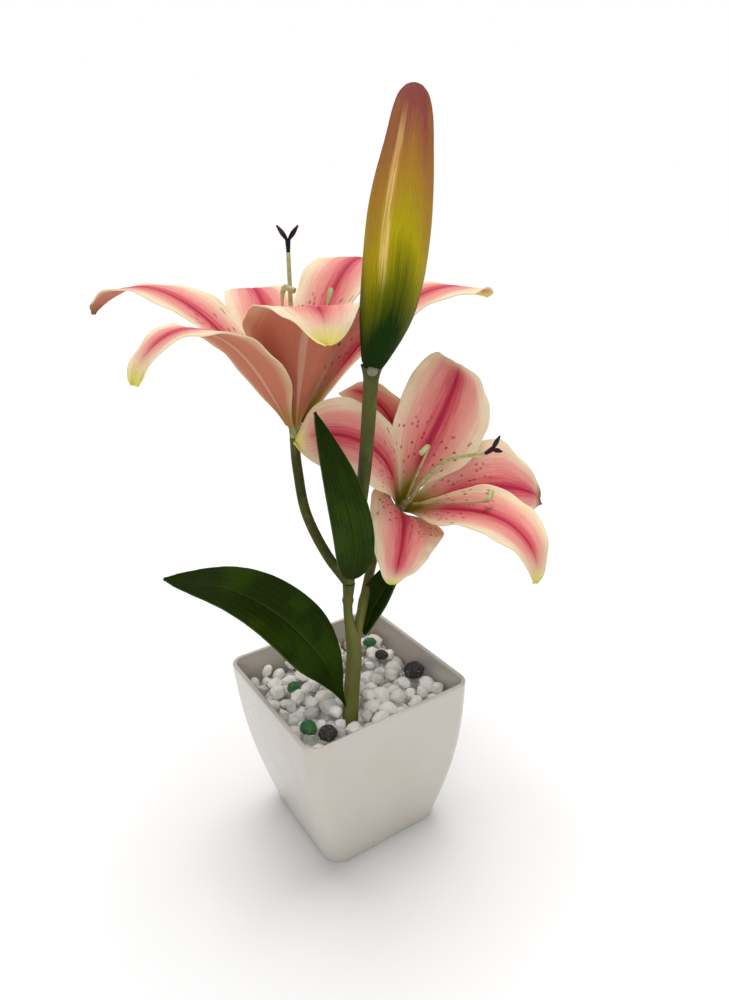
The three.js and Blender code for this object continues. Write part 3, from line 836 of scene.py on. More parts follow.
# %% [markdown]
# ## The stems
#
# One moulded stem rises from the foam, narrows to a neck, and swells again round a small nub at
# its top, where the bud's stem and the upper flower's stem begin. The lower flower's stem leaves
# it on the way up. All are tubes whose radius changes along the way, and the main stem and the
# bud's stem have the mould's fine ridges.

# %% Stem routes
STUMP_FOOT = Vector((*STUMP_PLACE, 0))
FORK = Vector((0.8, -8.6, 25.5))
NECK = Vector((-0.6, -7.8, 44.5))
NODE = Vector((0, -9.3, 59.7))
STEM_BURIAL = 34
STUMP_RADIUS = 3.6
NECK_RADIUS = 2.1
BUD_STEM_RADIUS = 2.9
BUD_SOCKET_RADIUS = 4.3
FLOWER_STEM_RADIUS = 2.3
FLOWER_APPROACH = 14
FLOWER_SEAT = 6.3
ABOVE_STONES = Vector((0, 0, GRAVEL_TOP))
UPPER_ORIGIN = Vector((-2, 27, 125))
UPPER_AXIS = Vector((0.045, -0.025, 1)).normalized()
LOWER_ORIGIN = Vector((48, 18, 75.5))
LOWER_AXIS = Vector((0.03, -0.82, 0.57)).normalized()
BUD_STEM_ROUTE = [(0, -9.6, 60.6), (0.3, -13, 72.3), (3.4, -21.8, 113), (5.3, -28.8, 158)]


def raised(points):
    """Points given from the top of the stones, lifted into place."""
    return [Vector(point) + ABOVE_STONES for point in points]


def stump_at(height):
    """The middle of the main stem at a height above the stones."""
    return STUMP_FOOT + (FORK - STUMP_FOOT) * (height / FORK.z)


def flower_route(start, origin, axis):
    """A stem's route from its start to just under a flower."""
    return raised([*start, origin - axis * FLOWER_APPROACH, origin - axis * FLOWER_SEAT])


print("main stem rises", NODE.z, "mm above the stones")


# %% Stem meshes
def bump_at(share, middle, width):
    """A smooth hump of height 1 round one share of a length."""
    return math.exp(-((share - middle) / width) ** 2)


def main_radius(share):
    """The main stem: thick, with a nub, a neck and a swelling at the top."""
    narrowing = min(max((share - 0.64) / 0.2, 0), 1)
    narrowing = narrowing * narrowing * (3 - 2 * narrowing)
    radius = spread(STUMP_RADIUS, NECK_RADIUS, narrowing)
    radius += 0.55 * bump_at(share, 0.905, 0.012)
    return radius + 0.7 * max(share - 0.9, 0) / 0.1


def bud_stem_radius(share):
    """The bud's stem: even, then flared into a socket."""
    flare = max((share - 0.93) / 0.07, 0)
    slim = spread(2.4, BUD_STEM_RADIUS, share)
    return slim + (BUD_SOCKET_RADIUS - BUD_STEM_RADIUS) * flare * flare


def flower_stem_radius(share):
    """A flower's stem, a little thicker at both ends."""
    return FLOWER_STEM_RADIUS + 0.25 * bump_at(share, 0, 0.08) + 0.2 * bump_at(share, 1, 0.05)


def flute(piece, depth, count):
    """Press fine ridges into a tube, which run up it and fade in and out."""
    for vertex in piece.data.vertices:
        turn = math.atan2(vertex.normal.y, vertex.normal.x)
        fade = 0.6 + 0.4 * math.sin(vertex.co.z / (11 * MM))
        vertex.co += vertex.normal * (depth * MM * fade * math.sin(count * turn))
    return piece


main_points = raised([stump_at(-STEM_BURIAL), stump_at(0), stump_at(8), FORK, NECK, NODE])
main_stem = flute(tube(main_points, main_radius, 90, 7), 0.1, 5)
bud_stem = flute(tube(raised(BUD_STEM_ROUTE), bud_stem_radius, 90, 7), 0.09, 6)
upper_start = [NODE, (-3.9, 1.2, 70), (-5.1, 17, 86.5), (-3.4, 25, 103)]
upper_stem = tube(flower_route(upper_start, UPPER_ORIGIN, UPPER_AXIS), flower_stem_radius, 70, 6)
lower_start = [FORK, (8.9, -5.3, 43.7), (26.5, 12, 56), (41, 26, 60)]
lower_stem = tube(flower_route(lower_start, LOWER_ORIGIN, LOWER_AXIS), flower_stem_radius, 90, 6)
stems = (main_stem, bud_stem, upper_stem, lower_stem)
print("stem faces:", sum(len(stem.data.polygons) for stem in stems))


# %% [markdown]
# The plastic of the stems is a semi-gloss olive green. It is paler towards the foot and in
# streaks along the stem, and darker in patches.

# %% Stem finish
STEM_OLIVE = (0.075, 0.082, 0.014)
STEM_PALE = (0.13, 0.125, 0.035)
STEM_DARK = (0.03, 0.04, 0.005)
STEM_FOOT = (0.19, 0.19, 0.05)


def stem_plastic():
    """Olive plastic with lengthwise streaks."""
    finish = Finish("stem_plastic")
    where = finish.where()
    streaks = where.stretched(1, 1, 0.12).noise(420, 4)
    patches = where.noise(55, 3)
    colour = finish.colour(STEM_OLIVE).mix(STEM_DARK, patches.rise(0.4, 0.65) * 0.75)
    colour = colour.mix(STEM_PALE, streaks.rise(0.52, 0.72) * 0.7)
    colour = colour.mix(STEM_FOOT, where.part(2).fall(0.105, 0.135) * (0.45 + streaks * 0.5))
    roughness = 0.38 + streaks * 0.25
    return finish.paint(colour, roughness, streaks, 0.0004)


stem_finish = stem_plastic()
hand_in(main_stem, "stem_main", "stem", [stem_finish], "main_stem")
for stem, owner in zip(stems[1:], ("bud", "upper_flower", "lower_flower")):
    hand_in(stem, "stem_of_" + owner, "stem", [stem_finish], owner + "_stem")


# %% [markdown]
# ## The bud
#
# A lily bud is three closed petals folded against each other, so it is a spindle with three
# soft ridges. A sphere is stretched along a bent line, thickest near the middle, and pressed
# in between the ridges. Its mesh carries how far round and how far up each point is, because
# the paint follows the ridges.

# %% Bud mesh
BUD_ROUTE = [(5.3, -28.8, 157.6), (9.1, -35.7, 182), (10.9, -42.7, 215), (13.1, -46.4, 235.5),
             (14.2, -48.2, 249)]
BUD_OUTLINE = [(3.9, 0.0), (6.8, 0.093), (9.7, 0.214), (10.85, 0.332), (11.2, 0.45), (11.0, 0.571),
               (9.95, 0.69), (8.2, 0.807), (6.3, 0.925), (4.9, 0.965), (2.9, 0.99), (0.0, 1.0)]
BUD_LENGTH = 92
BUD_RINGS = 72
BUD_SIDES = 60
BUD_LINE = 400
RIDGE_TURN = math.radians(222)
BUD_TWIST = 0.5
BUD_SLANT = -0.07


def bud_stations():
    """The share and radius of each ring of the bud, evenly spaced over its outline."""
    outline = [(radius, 0, share * BUD_LENGTH) for radius, share in BUD_OUTLINE]
    return [(point.z / BUD_LENGTH, max(point.x, 0)) for point in smooth_line(outline, BUD_RINGS + 1)]


def ridge_shape(around, share):
    """How far the ridges stand out and the grooves sink, as a share of the radius."""
    wave = math.cos(3 * (around - RIDGE_TURN) + BUD_TWIST * share)
    fade = math.sin(math.pi * min(share * 1.05, 1)) ** 0.6
    return fade * (0.05 * wave + 0.035 * max(wave, 0) ** 12)


def write_place(piece, places):
    """Store a vector at each point of a mesh, for its finish to read."""
    attribute = piece.data.attributes.new("place", "FLOAT_VECTOR", "POINT")
    attribute.data.foreach_set("vector", [number for place in places for number in place])


def make_bud():
    """The closed bud, bent along its route."""
    line = smooth_line(raised(BUD_ROUTE), BUD_LINE + 1)
    stations = bud_stations()
    bpy.ops.object.select_all(action="DESELECT")
    bpy.ops.mesh.primitive_uv_sphere_add(segments=BUD_SIDES, ring_count=BUD_RINGS, radius=1)
    bud = bpy.context.object
    places = []
    for vertex in bud.data.vertices:
        polar = math.acos(min(max(vertex.co.z, -1), 1)) / math.pi
        share, radius = stations[round((1 - polar) * BUD_RINGS)]
        around = math.atan2(vertex.co.y, vertex.co.x)
        step = round(share * BUD_LINE)
        ahead = (line[min(step + 1, BUD_LINE)] - line[max(step - 1, 0)]).normalized()
        side = (Vector((1, 0, 0)) - ahead * ahead.x).normalized()
        other = ahead.cross(side)
        radius *= 1 + ridge_shape(around, share)
        if abs(vertex.co.z) > 0.99999:
            radius = 0
        spoke = side * math.cos(around) + other * math.sin(around)
        vertex.co = (line[step] + spoke * radius) * MM
        places.append((math.cos(around), math.sin(around), share))
    write_place(bud, places)
    return smooth(bud, 60)


bud = make_bud()
print("bud faces:", len(bud.data.polygons))


# %% [markdown]
# The bud is airbrushed: deep green at the base, olive and yellow in the middle, then ochre and
# mauve at the tip, with a pale stripe up each ridge and fine brush marks along it. One flank of
# each ridge is painted ochre, partly the paint and partly painted shade on the facet turned from
# the light.

# %% Bud finish
BUD_BASE_GREEN = (0.006, 0.026, 0.0)
BUD_OLIVE = (0.13, 0.135, 0.001)
BUD_YELLOW = (0.44, 0.36, 0.004)
BUD_OCHRE = (0.44, 0.22, 0.03)
BUD_MAUVE = (0.33, 0.08, 0.07)
BUD_STRIPE = (0.90, 0.58, 0.20)


def bud_paint():
    """Airbrushed paint that follows the bud's length and ridges, with painted shade on one flank of
    each ridge.
    """
    finish = Finish("bud_paint", Specular_IOR_Level=0.05)
    place = finish.attribute("place")
    share = place.part(2)
    brush = place.stretched(5, 5, 1.2).noise(5, 4)
    round_angle = finish.start.maths("ARCTAN2", place.part(1), place.part(0))
    turned = 3 * (round_angle - RIDGE_TURN) + BUD_TWIST * share
    wave = finish.start.maths("COSINE", turned)
    flank = finish.start.maths("SINE", turned)
    blur = share + (brush - 0.5) * 0.2 + flank * BUD_SLANT
    stops = [(0.0, BUD_BASE_GREEN), (0.16, BUD_BASE_GREEN), (0.32, BUD_OLIVE), (0.5, BUD_YELLOW),
             (0.7, BUD_OCHRE), (0.88, BUD_MAUVE), (1.0, BUD_MAUVE)]
    colour = finish.start.node("ShaderNodeValToRGB", {"stops": stops}, {"Fac": blur})
    stripe = wave.rise(0.86, 1.0) * share.rise(0.3, 0.5) * share.fall(0.8, 0.97)
    # Ochre on one flank of each ridge: partly the paint, partly painted shade on the facet turned
    # from the light.
    ochre_and_shade_flank = flank.fall(-1.0, -0.1) * share.rise(0.3, 0.6) * share.fall(0.9, 1.0)
    colour = colour.mix(BUD_OCHRE, ochre_and_shade_flank * 0.55)
    colour = colour.mix(BUD_STRIPE, stripe * brush.rise(0.3, 0.6) * 0.9)
    colour = colour.mix(BUD_STRIPE, brush.rise(0.6, 0.85) * share.rise(0.45, 0.7) * 0.2)
    return finish.paint(colour, 0.42 + brush * 0.2, brush, 0.0006)


hand_in(bud, "bud_closed", "bud", [bud_paint()], "bud")


# %% [markdown]
# A pin through the socket holds the bud on its stem. Its pale end is a little dome, so it is a
# short tube whose radius closes almost to nothing.

# %% Bud pin
PIN_RADIUS = 2.1
PIN_DROP = 1.2
PIN_REACH = 5.0
PIN_DIRECTION = Vector((-0.5, -0.86, 0)).normalized()
PIN_PALE = (0.20, 0.21, 0.14)
PIN_SHADE = (0.12, 0.14, 0.07)


def dome(share):
    """The radius of a rod with a round end."""
    return PIN_RADIUS * math.sqrt(max(1 - max(share - 0.6, 0) ** 2 / 0.16, 0.0004))


def pin_plastic():
    """Pale plastic, a little worn."""
    finish = Finish("pin_plastic")
    wear = finish.where().noise(800, 3)
    colour = finish.colour(PIN_PALE).mix(PIN_SHADE, wear.rise(0.45, 0.7))
    return finish.paint(colour, 0.35 + wear * 0.2, wear, 0.0002)


pin_middle = Vector(BUD_STEM_ROUTE[-1]) - Vector((0, 0, PIN_DROP)) + ABOVE_STONES
pin = tube([pin_middle + PIN_DIRECTION, pin_middle + PIN_DIRECTION * PIN_REACH], dome, 20, 5)
hand_in(pin, "pin_of_bud", "pin", [pin_plastic()], "bud_pin")


# %% [markdown]
# ## Sheets: leaves and petals
#
# Leaves and petals are cut from coated cloth and pressed in a mould, so each is a thin sheet that
# follows a bent midrib. A grid primitive has the right mesh; its points are then moved along the
# midrib and out to the margins, and Solidify gives it a thickness with a separate finish for
# the back. Each point keeps how far across (-1 to 1) and how far along (0 to 1) it lies.

# %% Sheet helper
SHEET_COLUMNS = 30
SHEET_ROWS = 84
PETAL_THICKNESS = 0.55
LEAF_THICKNESS = 0.7


def pressed_sheet(point_at, thickness, face, back):
    """A sheet whose points come from `point_at(across, along)`, in millimetres."""
    bpy.ops.object.select_all(action="DESELECT")
    bpy.ops.mesh.primitive_grid_add(x_subdivisions=SHEET_COLUMNS, y_subdivisions=SHEET_ROWS, size=2)
    piece = bpy.context.object
    places = []
    for vertex in piece.data.vertices:
        across = vertex.co.x
        along = (vertex.co.y + 1) / 2
        places.append((across, along, 0))
        vertex.co = point_at(across, along) * MM
    write_place(piece, places)
    piece.data.materials.append(face)
    piece.data.materials.append(back)
    modify(piece, "SOLIDIFY", thickness=thickness * MM, offset=0, material_offset=1)
    return smooth(piece, 75)


print("sheets are ready")


# %% [markdown]
# ## The leaves
#
# A lily leaf is a long blade with a sunk midrib and veins that run beside it to the tip. The
# blade folds up a little on both sides of the midrib, and its margins wave.

# %% Leaf meshes
LEAVES = {
    "leaf_broad": {
        "route": [(-8.2, -14.6, -0.5), (-15, -6.6, 23), (-28.7, 0.9, 46), (-45.3, 10.8, 61.2),
                  (-70, 30, 68)],
        "facing": (-0.2, -0.5, 1), "width": 30.5, "fold": 15, "fullness": 0.8, "taper": 2.2,
    },
    "leaf_front": {
        "route": [(-0.7, -14.2, 64), (-2.1, -19.7, 82.7), (-8, -23.2, 109.7),
                  (-14.2, -17.2, 141.5)],
        "facing": (-0.25, -0.95, 0.4), "width": 18, "fold": 10, "fullness": 0.62, "taper": 0.75,
    },
    "leaf_back": {
        "route": [(7, -8.5, 30), (13, -7, 40), (23, -7.5, 53), (32, -7, 66)],
        "facing": (-0.95, -0.3, 0.7), "width": 15, "fold": 28, "fullness": 0.8, "taper": 0.9,
    },
}
LEAF_SHAPE = 0.75
LEAF_TIP_HALF = 0.6
LEAF_LINE = 240
VEINS = 5
VEIN_DEPTH = 0.16
VEIN_SPREAD = 0.85
MIDRIB_DEPTH = 0.75
MARGIN_WAVE = 0.6


def leaf_half_width(leaf, along):
    """Half the leaf's width at a share of its length."""
    swell = max(math.sin(math.pi * along ** leaf["fullness"]), 0)
    rising = along ** leaf["fullness"] < 0.5
    shape = leaf["taper"] if rising else LEAF_SHAPE
    return max(leaf["width"] / 2 * swell ** shape, LEAF_TIP_HALF)


def make_leaf(leaf, face, back):
    """One leaf, pressed along its midrib."""
    line = smooth_line(raised(leaf["route"]), LEAF_LINE + 1)
    facing = Vector(leaf["facing"]).normalized()
    lift = math.tan(math.radians(leaf["fold"]))

    def point_at(across, along):
        step = round(along * LEAF_LINE)
        ahead = (line[min(step + 1, LEAF_LINE)] - line[max(step - 1, 0)]).normalized()
        side = ahead.cross(facing).normalized()
        normal = side.cross(ahead)
        half = leaf_half_width(leaf, along)
        fade = math.sin(math.pi * along)
        height = abs(across) * half * lift
        height -= MIDRIB_DEPTH * fade * bump_at(across, 0, 0.07)
        height += VEIN_DEPTH * fade * math.cos(2 * math.pi * VEINS * abs(across) ** VEIN_SPREAD)
        height += MARGIN_WAVE * fade * abs(across) ** 3 * math.sin(9 * along + 2 * across)
        return line[step] + side * (across * half) + normal * height

    return pressed_sheet(point_at, LEAF_THICKNESS, face, back)


# %% [markdown]
# The leaf's face is a deep, slightly waxy green. Its midrib and veins are darker in the grooves
# and paler on their shoulders, and the coating is cloudy. The back is paler and matt.

# %% Leaf finish
LEAF_DEEP = (0.014, 0.032, 0.001)
LEAF_FRESH = (0.03, 0.066, 0.001)
LEAF_PALE = (0.07, 0.115, 0.008)
LEAF_DARK = (0.008, 0.022, 0.003)
LEAF_BACK = (0.05, 0.10, 0.03)


def leaf_face(name, body, cloud, shine):
    """Waxy green with sunk veins."""
    finish = Finish(name, Specular_IOR_Level=0.08)
    place = finish.attribute("place")
    across = place.part(0)
    along = place.part(1)
    off = abs(across)
    clouds = finish.where().noise(60, 4)
    fibres = place.stretched(26, 2.5, 1).noise(3, 4)
    bent = finish.start.maths("POWER", off, VEIN_SPREAD)
    veins = finish.start.maths("COSINE", bent * (6.283 * VEINS))
    colour = finish.colour(body).mix(cloud, clouds.rise(0.42, 0.68) * 0.8)
    colour = colour.mix(LEAF_PALE, veins.rise(0.55, 1.0) * fibres.rise(0.5, 0.7) * 0.45)
    colour = colour.mix(LEAF_PALE, off.fall(0.05, 0.12) * off.rise(0.02, 0.06) * 0.4)
    colour = colour.mix(LEAF_DARK, off.fall(0.012, 0.035) * along.fall(0.8, 0.98) * 0.8)
    colour = colour.mix(LEAF_PALE, off.rise(0.97, 1.0) * 0.35)
    roughness = shine + clouds * 0.22
    return finish.paint(colour, roughness, fibres, 0.0004)


leaf_finishes = [leaf_face("leaf_face", LEAF_DEEP, LEAF_FRESH, 0.3),
                 leaf_face("leaf_back_face", LEAF_BACK, LEAF_FRESH, 0.5)]
for leaf_name, leaf in LEAVES.items():
    blade = make_leaf(leaf, *leaf_finishes)
    hand_in(blade, leaf_name.replace("leaf", "blade"), "leaf", [], leaf_name)


# %% [markdown]
# ## The petals
#
# Each flower has three inner petals and three outer ones. A petal leaves the throat at a slant,
# hugging the flower's axis like a gutter, then opens and falls away. Its midrib is led by an
# angle from the axis that grows along its length, from `opening` to `fall`, and its
# cross-section is an arc that flattens as the petal leaves the axis. The midrib is a groove on
# the face and a ridge on the back, and the margin is frilled. Turns and slants are in degrees.

# %% Petal sizes
PETAL_BASE_RADIUS = {"inner": 2.7, "outer": 3.7}
CLAW_ARC = 0.72
PETAL_TIP_HALF = 0.9
Petal = namedtuple(
    "Petal", "whorl tip turn sweep opening fall curl hug length width widest full blunt")
UPPER_PETALS = {
    "front": Petal("inner", "yellow", -12, -4.7, 20.9, 169.2, 3.06, 0.9, 95.9, 53.3, 0.45, 1.03,
                   0.52),
    "left": Petal("inner", "brown", -137, -2, 34.6, 147, 2.53, 0.95, 122.8, 39.7, 0.56, 3.78, 1.02),
    "back_right": Petal("inner", "cream", 115.8, 9.9, 23, 140.4, 2.45, 1.12, 121.5, 36.6, 0.62, 4,
                        0.5),
    "front_left": Petal("outer", "yellow", -64.5, -1.8, 33, 160.9, 2.41, 0.6, 110, 30.1, 0.36,
                        1.21, 0.5),
    "right": Petal("outer", "yellow", 81.2, 9.7, 38.1, 121.9, 2.23, 1.02, 122.3, 50.9, 0.56, 2.45,
                   0.68),
    "back_left": Petal("outer", "cream", 170.5, -2.6, 32, 123.8, 2.24, 0.34, 104.7, 37.3, 0.51,
                       2.14, 0.73),
}
LOWER_PETALS = {
    "top": Petal("inner", "cream", -24.4, -23.6, 41, 146, 3.19, 0.77, 84, 47.1, 0.48, 2.42, 0.61),
    "lower_right": Petal("inner", "yellow", -148.1, -42.5, 21, 143.3, 4.03, 0.3, 96.4, 38.4, 0.48,
                         1.29, 0.71),
    "left": Petal("inner", "yellow", 42.9, 29.7, 33.5, 167.2, 2.78, 0.32, 90.9, 36.5, 0.62, 3.19,
                  0.86),
    "right": Petal("outer", "brown", -96, -26.4, 45.8, 140.9, 2.31, 0.3, 79.3, 50.4, 0.62, 1.14,
                   1.2),
    "front": Petal("outer", "yellow", 119.7, 39.9, 22.6, 143.4, 1.36, 0.47, 55.2, 41.6, 0.36, 1,
                   0.55),
    "upper_left": Petal("outer", "cream", -9, 38.2, 43.5, 169.3, 1.67, 0.84, 77.1, 24, 0.62, 1.32,
                        0.56),
}


def flower_place(origin, axis, reference):
    """The matrix from a flower's own axes, Z along its axis, to the plant's."""
    first = (reference - axis * axis.dot(reference)).normalized()
    second = axis.cross(first)
    turn = Matrix((first, second, axis)).transposed().to_4x4()
    return Matrix.Translation(origin + ABOVE_STONES) @ turn


UPPER_PLACE = flower_place(UPPER_ORIGIN, UPPER_AXIS, Vector((0, -1, 0)))
LOWER_PLACE = flower_place(LOWER_ORIGIN, LOWER_AXIS, Vector((0, 0, 1)))
print("petals:", len(UPPER_PETALS) + len(LOWER_PETALS))


# %% Petal meshes
MIDRIB_LINE = 252
CLAW_EASE = 1.6
LEAST_BEND = 0.02


def petal_half_width(petal, base, along):
    """Half the petal's width at a share of its length."""
    half = petal.width / 2
    widest = petal.widest
    if along < widest:
        claw = CLAW_ARC * base
        return claw + (half - claw) * math.sin(along / widest * math.pi / 2) ** CLAW_EASE
    past = (along - widest) / (1 - widest)
    return max(half * (1 - past ** petal.full) ** petal.blunt, PETAL_TIP_HALF)


def midrib(petal, base):
    """The middle line of a petal: each point, its two directions, and how upright it is."""
    turn = math.radians(petal.turn)
    centre = Vector((math.cos(turn), math.sin(turn), 0)) * base
    stations = []
    for step in range(MIDRIB_LINE + 1):
        along = step / MIDRIB_LINE
        lean = math.radians(spread(petal.opening, petal.fall, along ** petal.curl))
        around = math.radians(petal.turn + petal.sweep * along)
        out = Vector((math.cos(around), math.sin(around), 0))
        ahead = Vector((0, 0, math.cos(lean))) + out * math.sin(lean)
        normal = Vector((0, 0, math.sin(lean))) - out * math.cos(lean)
        stations.append((centre.copy(), ahead, normal, math.cos(lean)))
        centre += ahead * (petal.length / MIDRIB_LINE)
    return stations


def relief(across, along, phase):
    """The pressed pattern of a petal: midrib groove, long veins and a frilled margin."""
    body = math.sin(math.pi * min(along * 1.1, 1)) ** 0.6 if along * 1.1 < 1 else 0
    height = -0.85 * body * bump_at(across, 0, 0.055)
    height += 0.35 * body * (bump_at(across, 0.16, 0.07) + bump_at(across, -0.16, 0.07))
    height += 0.1 * body * math.cos(34 * across)
    frill = 0.9 * abs(across) ** 4 * (0.3 + along)
    height += frill * math.sin(19 * along + phase + 1.7 * across)
    height += 0.4 * frill * math.sin(43 * along + 2 * phase)
    return height


def make_petal(petal, place, phase, face, back):
    """One petal, in its place on the plant."""
    base = PETAL_BASE_RADIUS[petal.whorl]
    stations = midrib(petal, base)

    def point_at(across, along):
        centre, ahead, normal, upright = stations[round(along * MIDRIB_LINE)]
        side = ahead.cross(normal)
        half = petal_half_width(petal, base, along)
        reach = max(math.hypot(centre.x, centre.y), 0.1)
        bend = max(petal.hug * half * max(upright, 0) / reach, LEAST_BEND)
        angle = bend * across
        point = centre + side * (half * math.sin(angle) / bend)
        point += normal * (half * (1 - math.cos(angle)) / bend + relief(across, along, phase))
        return place @ point

    return pressed_sheet(point_at, PETAL_THICKNESS, face, back)


# %% [markdown]
# A petal is painted in soft strokes that run along it: cream at the margin, a pink wash inside
# it, and a deep magenta band on the midrib. The throat is yellow green, the tip is yellow or
# cream, and dark magenta freckles dot the lower half. On the petals whose tips curl away from the
# light, the tip is painted shade in dark brown. The freckles come from cells laid out over the
# flat sheet, so they narrow where the sheet does.

# %% Petal finishes
CREAM = (0.90, 0.74, 0.50)
PINK = (0.80, 0.22, 0.22)
ROSE = (0.60, 0.04, 0.08)
MAGENTA = (0.40, 0.01, 0.05)
THROAT = (0.30, 0.21, 0.0)
FRECKLE = (0.34, 0.015, 0.03)
# The dark brown tip is painted shade, for tips that curl away from the light.
TIPS = {"yellow": (0.90, 0.80, 0.15), "cream": (0.90, 0.76, 0.42), "brown": (0.24, 0.10, 0.03)}
TIP_BLEND = 0.1
TIP_STARTS = {"yellow": 0.9, "cream": 0.93, "brown": 0.84}
BACK_PINK = (0.50, 0.15, 0.085)
BACK_CREAM = (0.66, 0.44, 0.26)
BACK_RIB = (0.60, 0.36, 0.24)


def petal_strokes(finish, place):
    """Fine strokes along a petal, from 0 to 1."""
    return place.stretched(9, 1.5, 1).noise(2.2, 5, 0.6)


def freckles(finish, place, along, off):
    """Scattered freckles on the lower half of a petal, away from its midrib and margin."""
    cells = {"Vector": place.stretched(6, 19, 1), "Scale": 1.0, "Randomness": 1.0}
    kind = "ShaderNodeTexVoronoi"
    settings = {"voronoi_dimensions": "2D"}
    distance = finish.start.node(kind, settings, cells, "Distance")
    draw = finish.start.node(kind, settings, cells, "Color").part(0)
    zone = along.rise(0.12, 0.2) * along.fall(0.4, 0.62) * off.rise(0.1, 0.2) * off.fall(0.8, 0.95)
    return distance.fall(0.11, 0.23) * draw.rise(0.4, 0.44) * zone


def petal_face(tip):
    """The painted face of a petal with one kind of tip."""
    finish = Finish("petal_face_" + tip)
    place = finish.attribute("place")
    along = place.part(1)
    off = abs(place.part(0))
    strokes = petal_strokes(finish, place)
    clouds = place.stretched(2, 3, 1).noise(2, 3)
    ragged = off + (strokes - 0.5) * 0.55 + (clouds - 0.5) * 0.35
    along_wash = along.rise(0.06, 0.2) * along.fall(0.82, 1.0)
    wash = ragged.fall(0.45, 0.95) * along_wash
    rose = ragged.fall(0.02, 0.46) * along.rise(0.12, 0.3) * along.fall(0.8, 0.98)
    core = (off + (strokes - 0.5) * 0.14).fall(0.02, 0.1) * along.rise(0.14, 0.3)
    core = core * along.fall(0.78, 0.96)
    colour = finish.colour(CREAM).mix(PINK, wash * (0.45 + clouds * 0.7))
    colour = colour.mix(ROSE, rose * 0.9)
    colour = colour.mix(MAGENTA, core * (0.5 + strokes * 0.6))
    tip_line = along + (strokes - 0.5) * 0.1 - off * 0.02
    colour = colour.mix(TIPS[tip], tip_line.rise(TIP_STARTS[tip], TIP_STARTS[tip] + TIP_BLEND))
    colour = colour.mix(THROAT, (along + off * 0.12 + (strokes - 0.5) * 0.1).fall(0.1, 0.3))
    colour = colour.mix(FRECKLE, freckles(finish, place, along, off) * 0.85)
    roughness = 0.5 + strokes * 0.2
    return finish.paint(colour, roughness, strokes, 0.0006)


def petal_back(tip):
    """The duller back of a petal, with a pale midrib."""
    finish = Finish("petal_back_" + tip)
    place = finish.attribute("place")
    along = place.part(1)
    off = abs(place.part(0))
    strokes = petal_strokes(finish, place)
    ragged = off + (strokes - 0.5) * 0.4
    colour = finish.colour(BACK_CREAM).mix(BACK_PINK, ragged.fall(0.6, 1.05) * 0.95)
    colour = colour.mix(BACK_RIB, off.fall(0.03, 0.08) * along.fall(0.6, 0.9) * 0.7)
    colour = colour.mix(TIPS[tip], along.rise(0.9, 1.0) * 0.7)
    colour = colour.mix(THROAT, along.fall(0.04, 0.16) * 0.5)
    return finish.paint(colour, 0.55 + strokes * 0.2, strokes, 0.0005)


petal_finishes = {tip: [petal_face(tip), petal_back(tip)] for tip in TIPS}
print("petal finishes:", len(petal_finishes))


# %% Petals on both flowers
FRILL_SHIFT = 1.9


def add_petals(flower, petals, place):
    """All six petals of one flower."""
    for index, (name, petal) in enumerate(petals.items()):
        piece = make_petal(petal, place, FRILL_SHIFT * index, *petal_finishes[petal.tip])
        hand_in(piece, f"{flower}_{name}_petal", "petal", [], f"{flower}_petal_{name}")


add_petals("upper", UPPER_PETALS, UPPER_PLACE)
add_petals("lower", LOWER_PETALS, LOWER_PLACE)


# %% [markdown]
# ## The middle of a flower
#
# Under the petals a small cone joins the flower to its stem. Out of it stand the pistil, a pale
# rod with a black forked end, and two thin stamens whose tips hook over. All are tubes: the
# prongs of the fork are leaf-shaped, so their radius swells and closes again.

# %% Receptacle, pistil and stamens
RECEPTACLE_RADII = [(0.0, 2.4), (0.3, 2.7), (0.42, 3.4), (0.5, 2.9), (0.75, 2.3), (1.0, 1.2)]
PISTIL_RADIUS = 1.0
PISTIL_BOWS = {"upper": 0.5, "lower": 6.5}
PISTIL_FOOT = 8.3
PISTIL_TOP = 73
STALK_MIDDLE = 75.5
FORK_HEIGHT = 78
STIGMA_TOP = 83.5
STIGMA_FORKS = {"upper": (59, 4.4), "lower": (-20, 3.4)}
STAMEN_RADIUS = 0.6
STAMEN_FOOT = 8.6
STAMENS = {
    "upper": [(-60, 4, 50), (60, 17, 50)],
    "lower": [(20, 20, 40), (-150, 22, 44)],
}


def stepped(stops, share):
    """The value at a share, between the stops of a list."""
    for (first, start), (last, end) in zip(stops, stops[1:]):
        if share <= last:
            return spread(start, end, (share - first) / (last - first))
    return stops[-1][1]


def placed(place, points):
    """Points in a flower's own axes, put in their places on the plant."""
    return [place @ Vector(point) for point in points]


def make_receptacle(place):
    """The cone between a stem and its petals."""
    ends = placed(place, [(0, 0, -6), (0, 0, 1), (0, 0, 8)])
    return tube(ends, lambda share: stepped(RECEPTACLE_RADII, share), 40, 7)


def make_pistil(place, bow):
    """The rod in the middle of a flower, bowed to one side."""
    route = placed(place, [(0, 0, PISTIL_FOOT), (bow * 0.7, 0, 25), (bow, 0, 48), (0, 0, PISTIL_TOP)])
    return tube(route, lambda share: PISTIL_RADIUS * (1.1 - 0.25 * share), 60, 5)


def prong_radius(share):
    """A leaf-shaped prong, pointed at its end."""
    return 0.3 + 0.7 * math.sin(math.pi * min(share * 0.92 + 0.06, 1)) ** 1.3


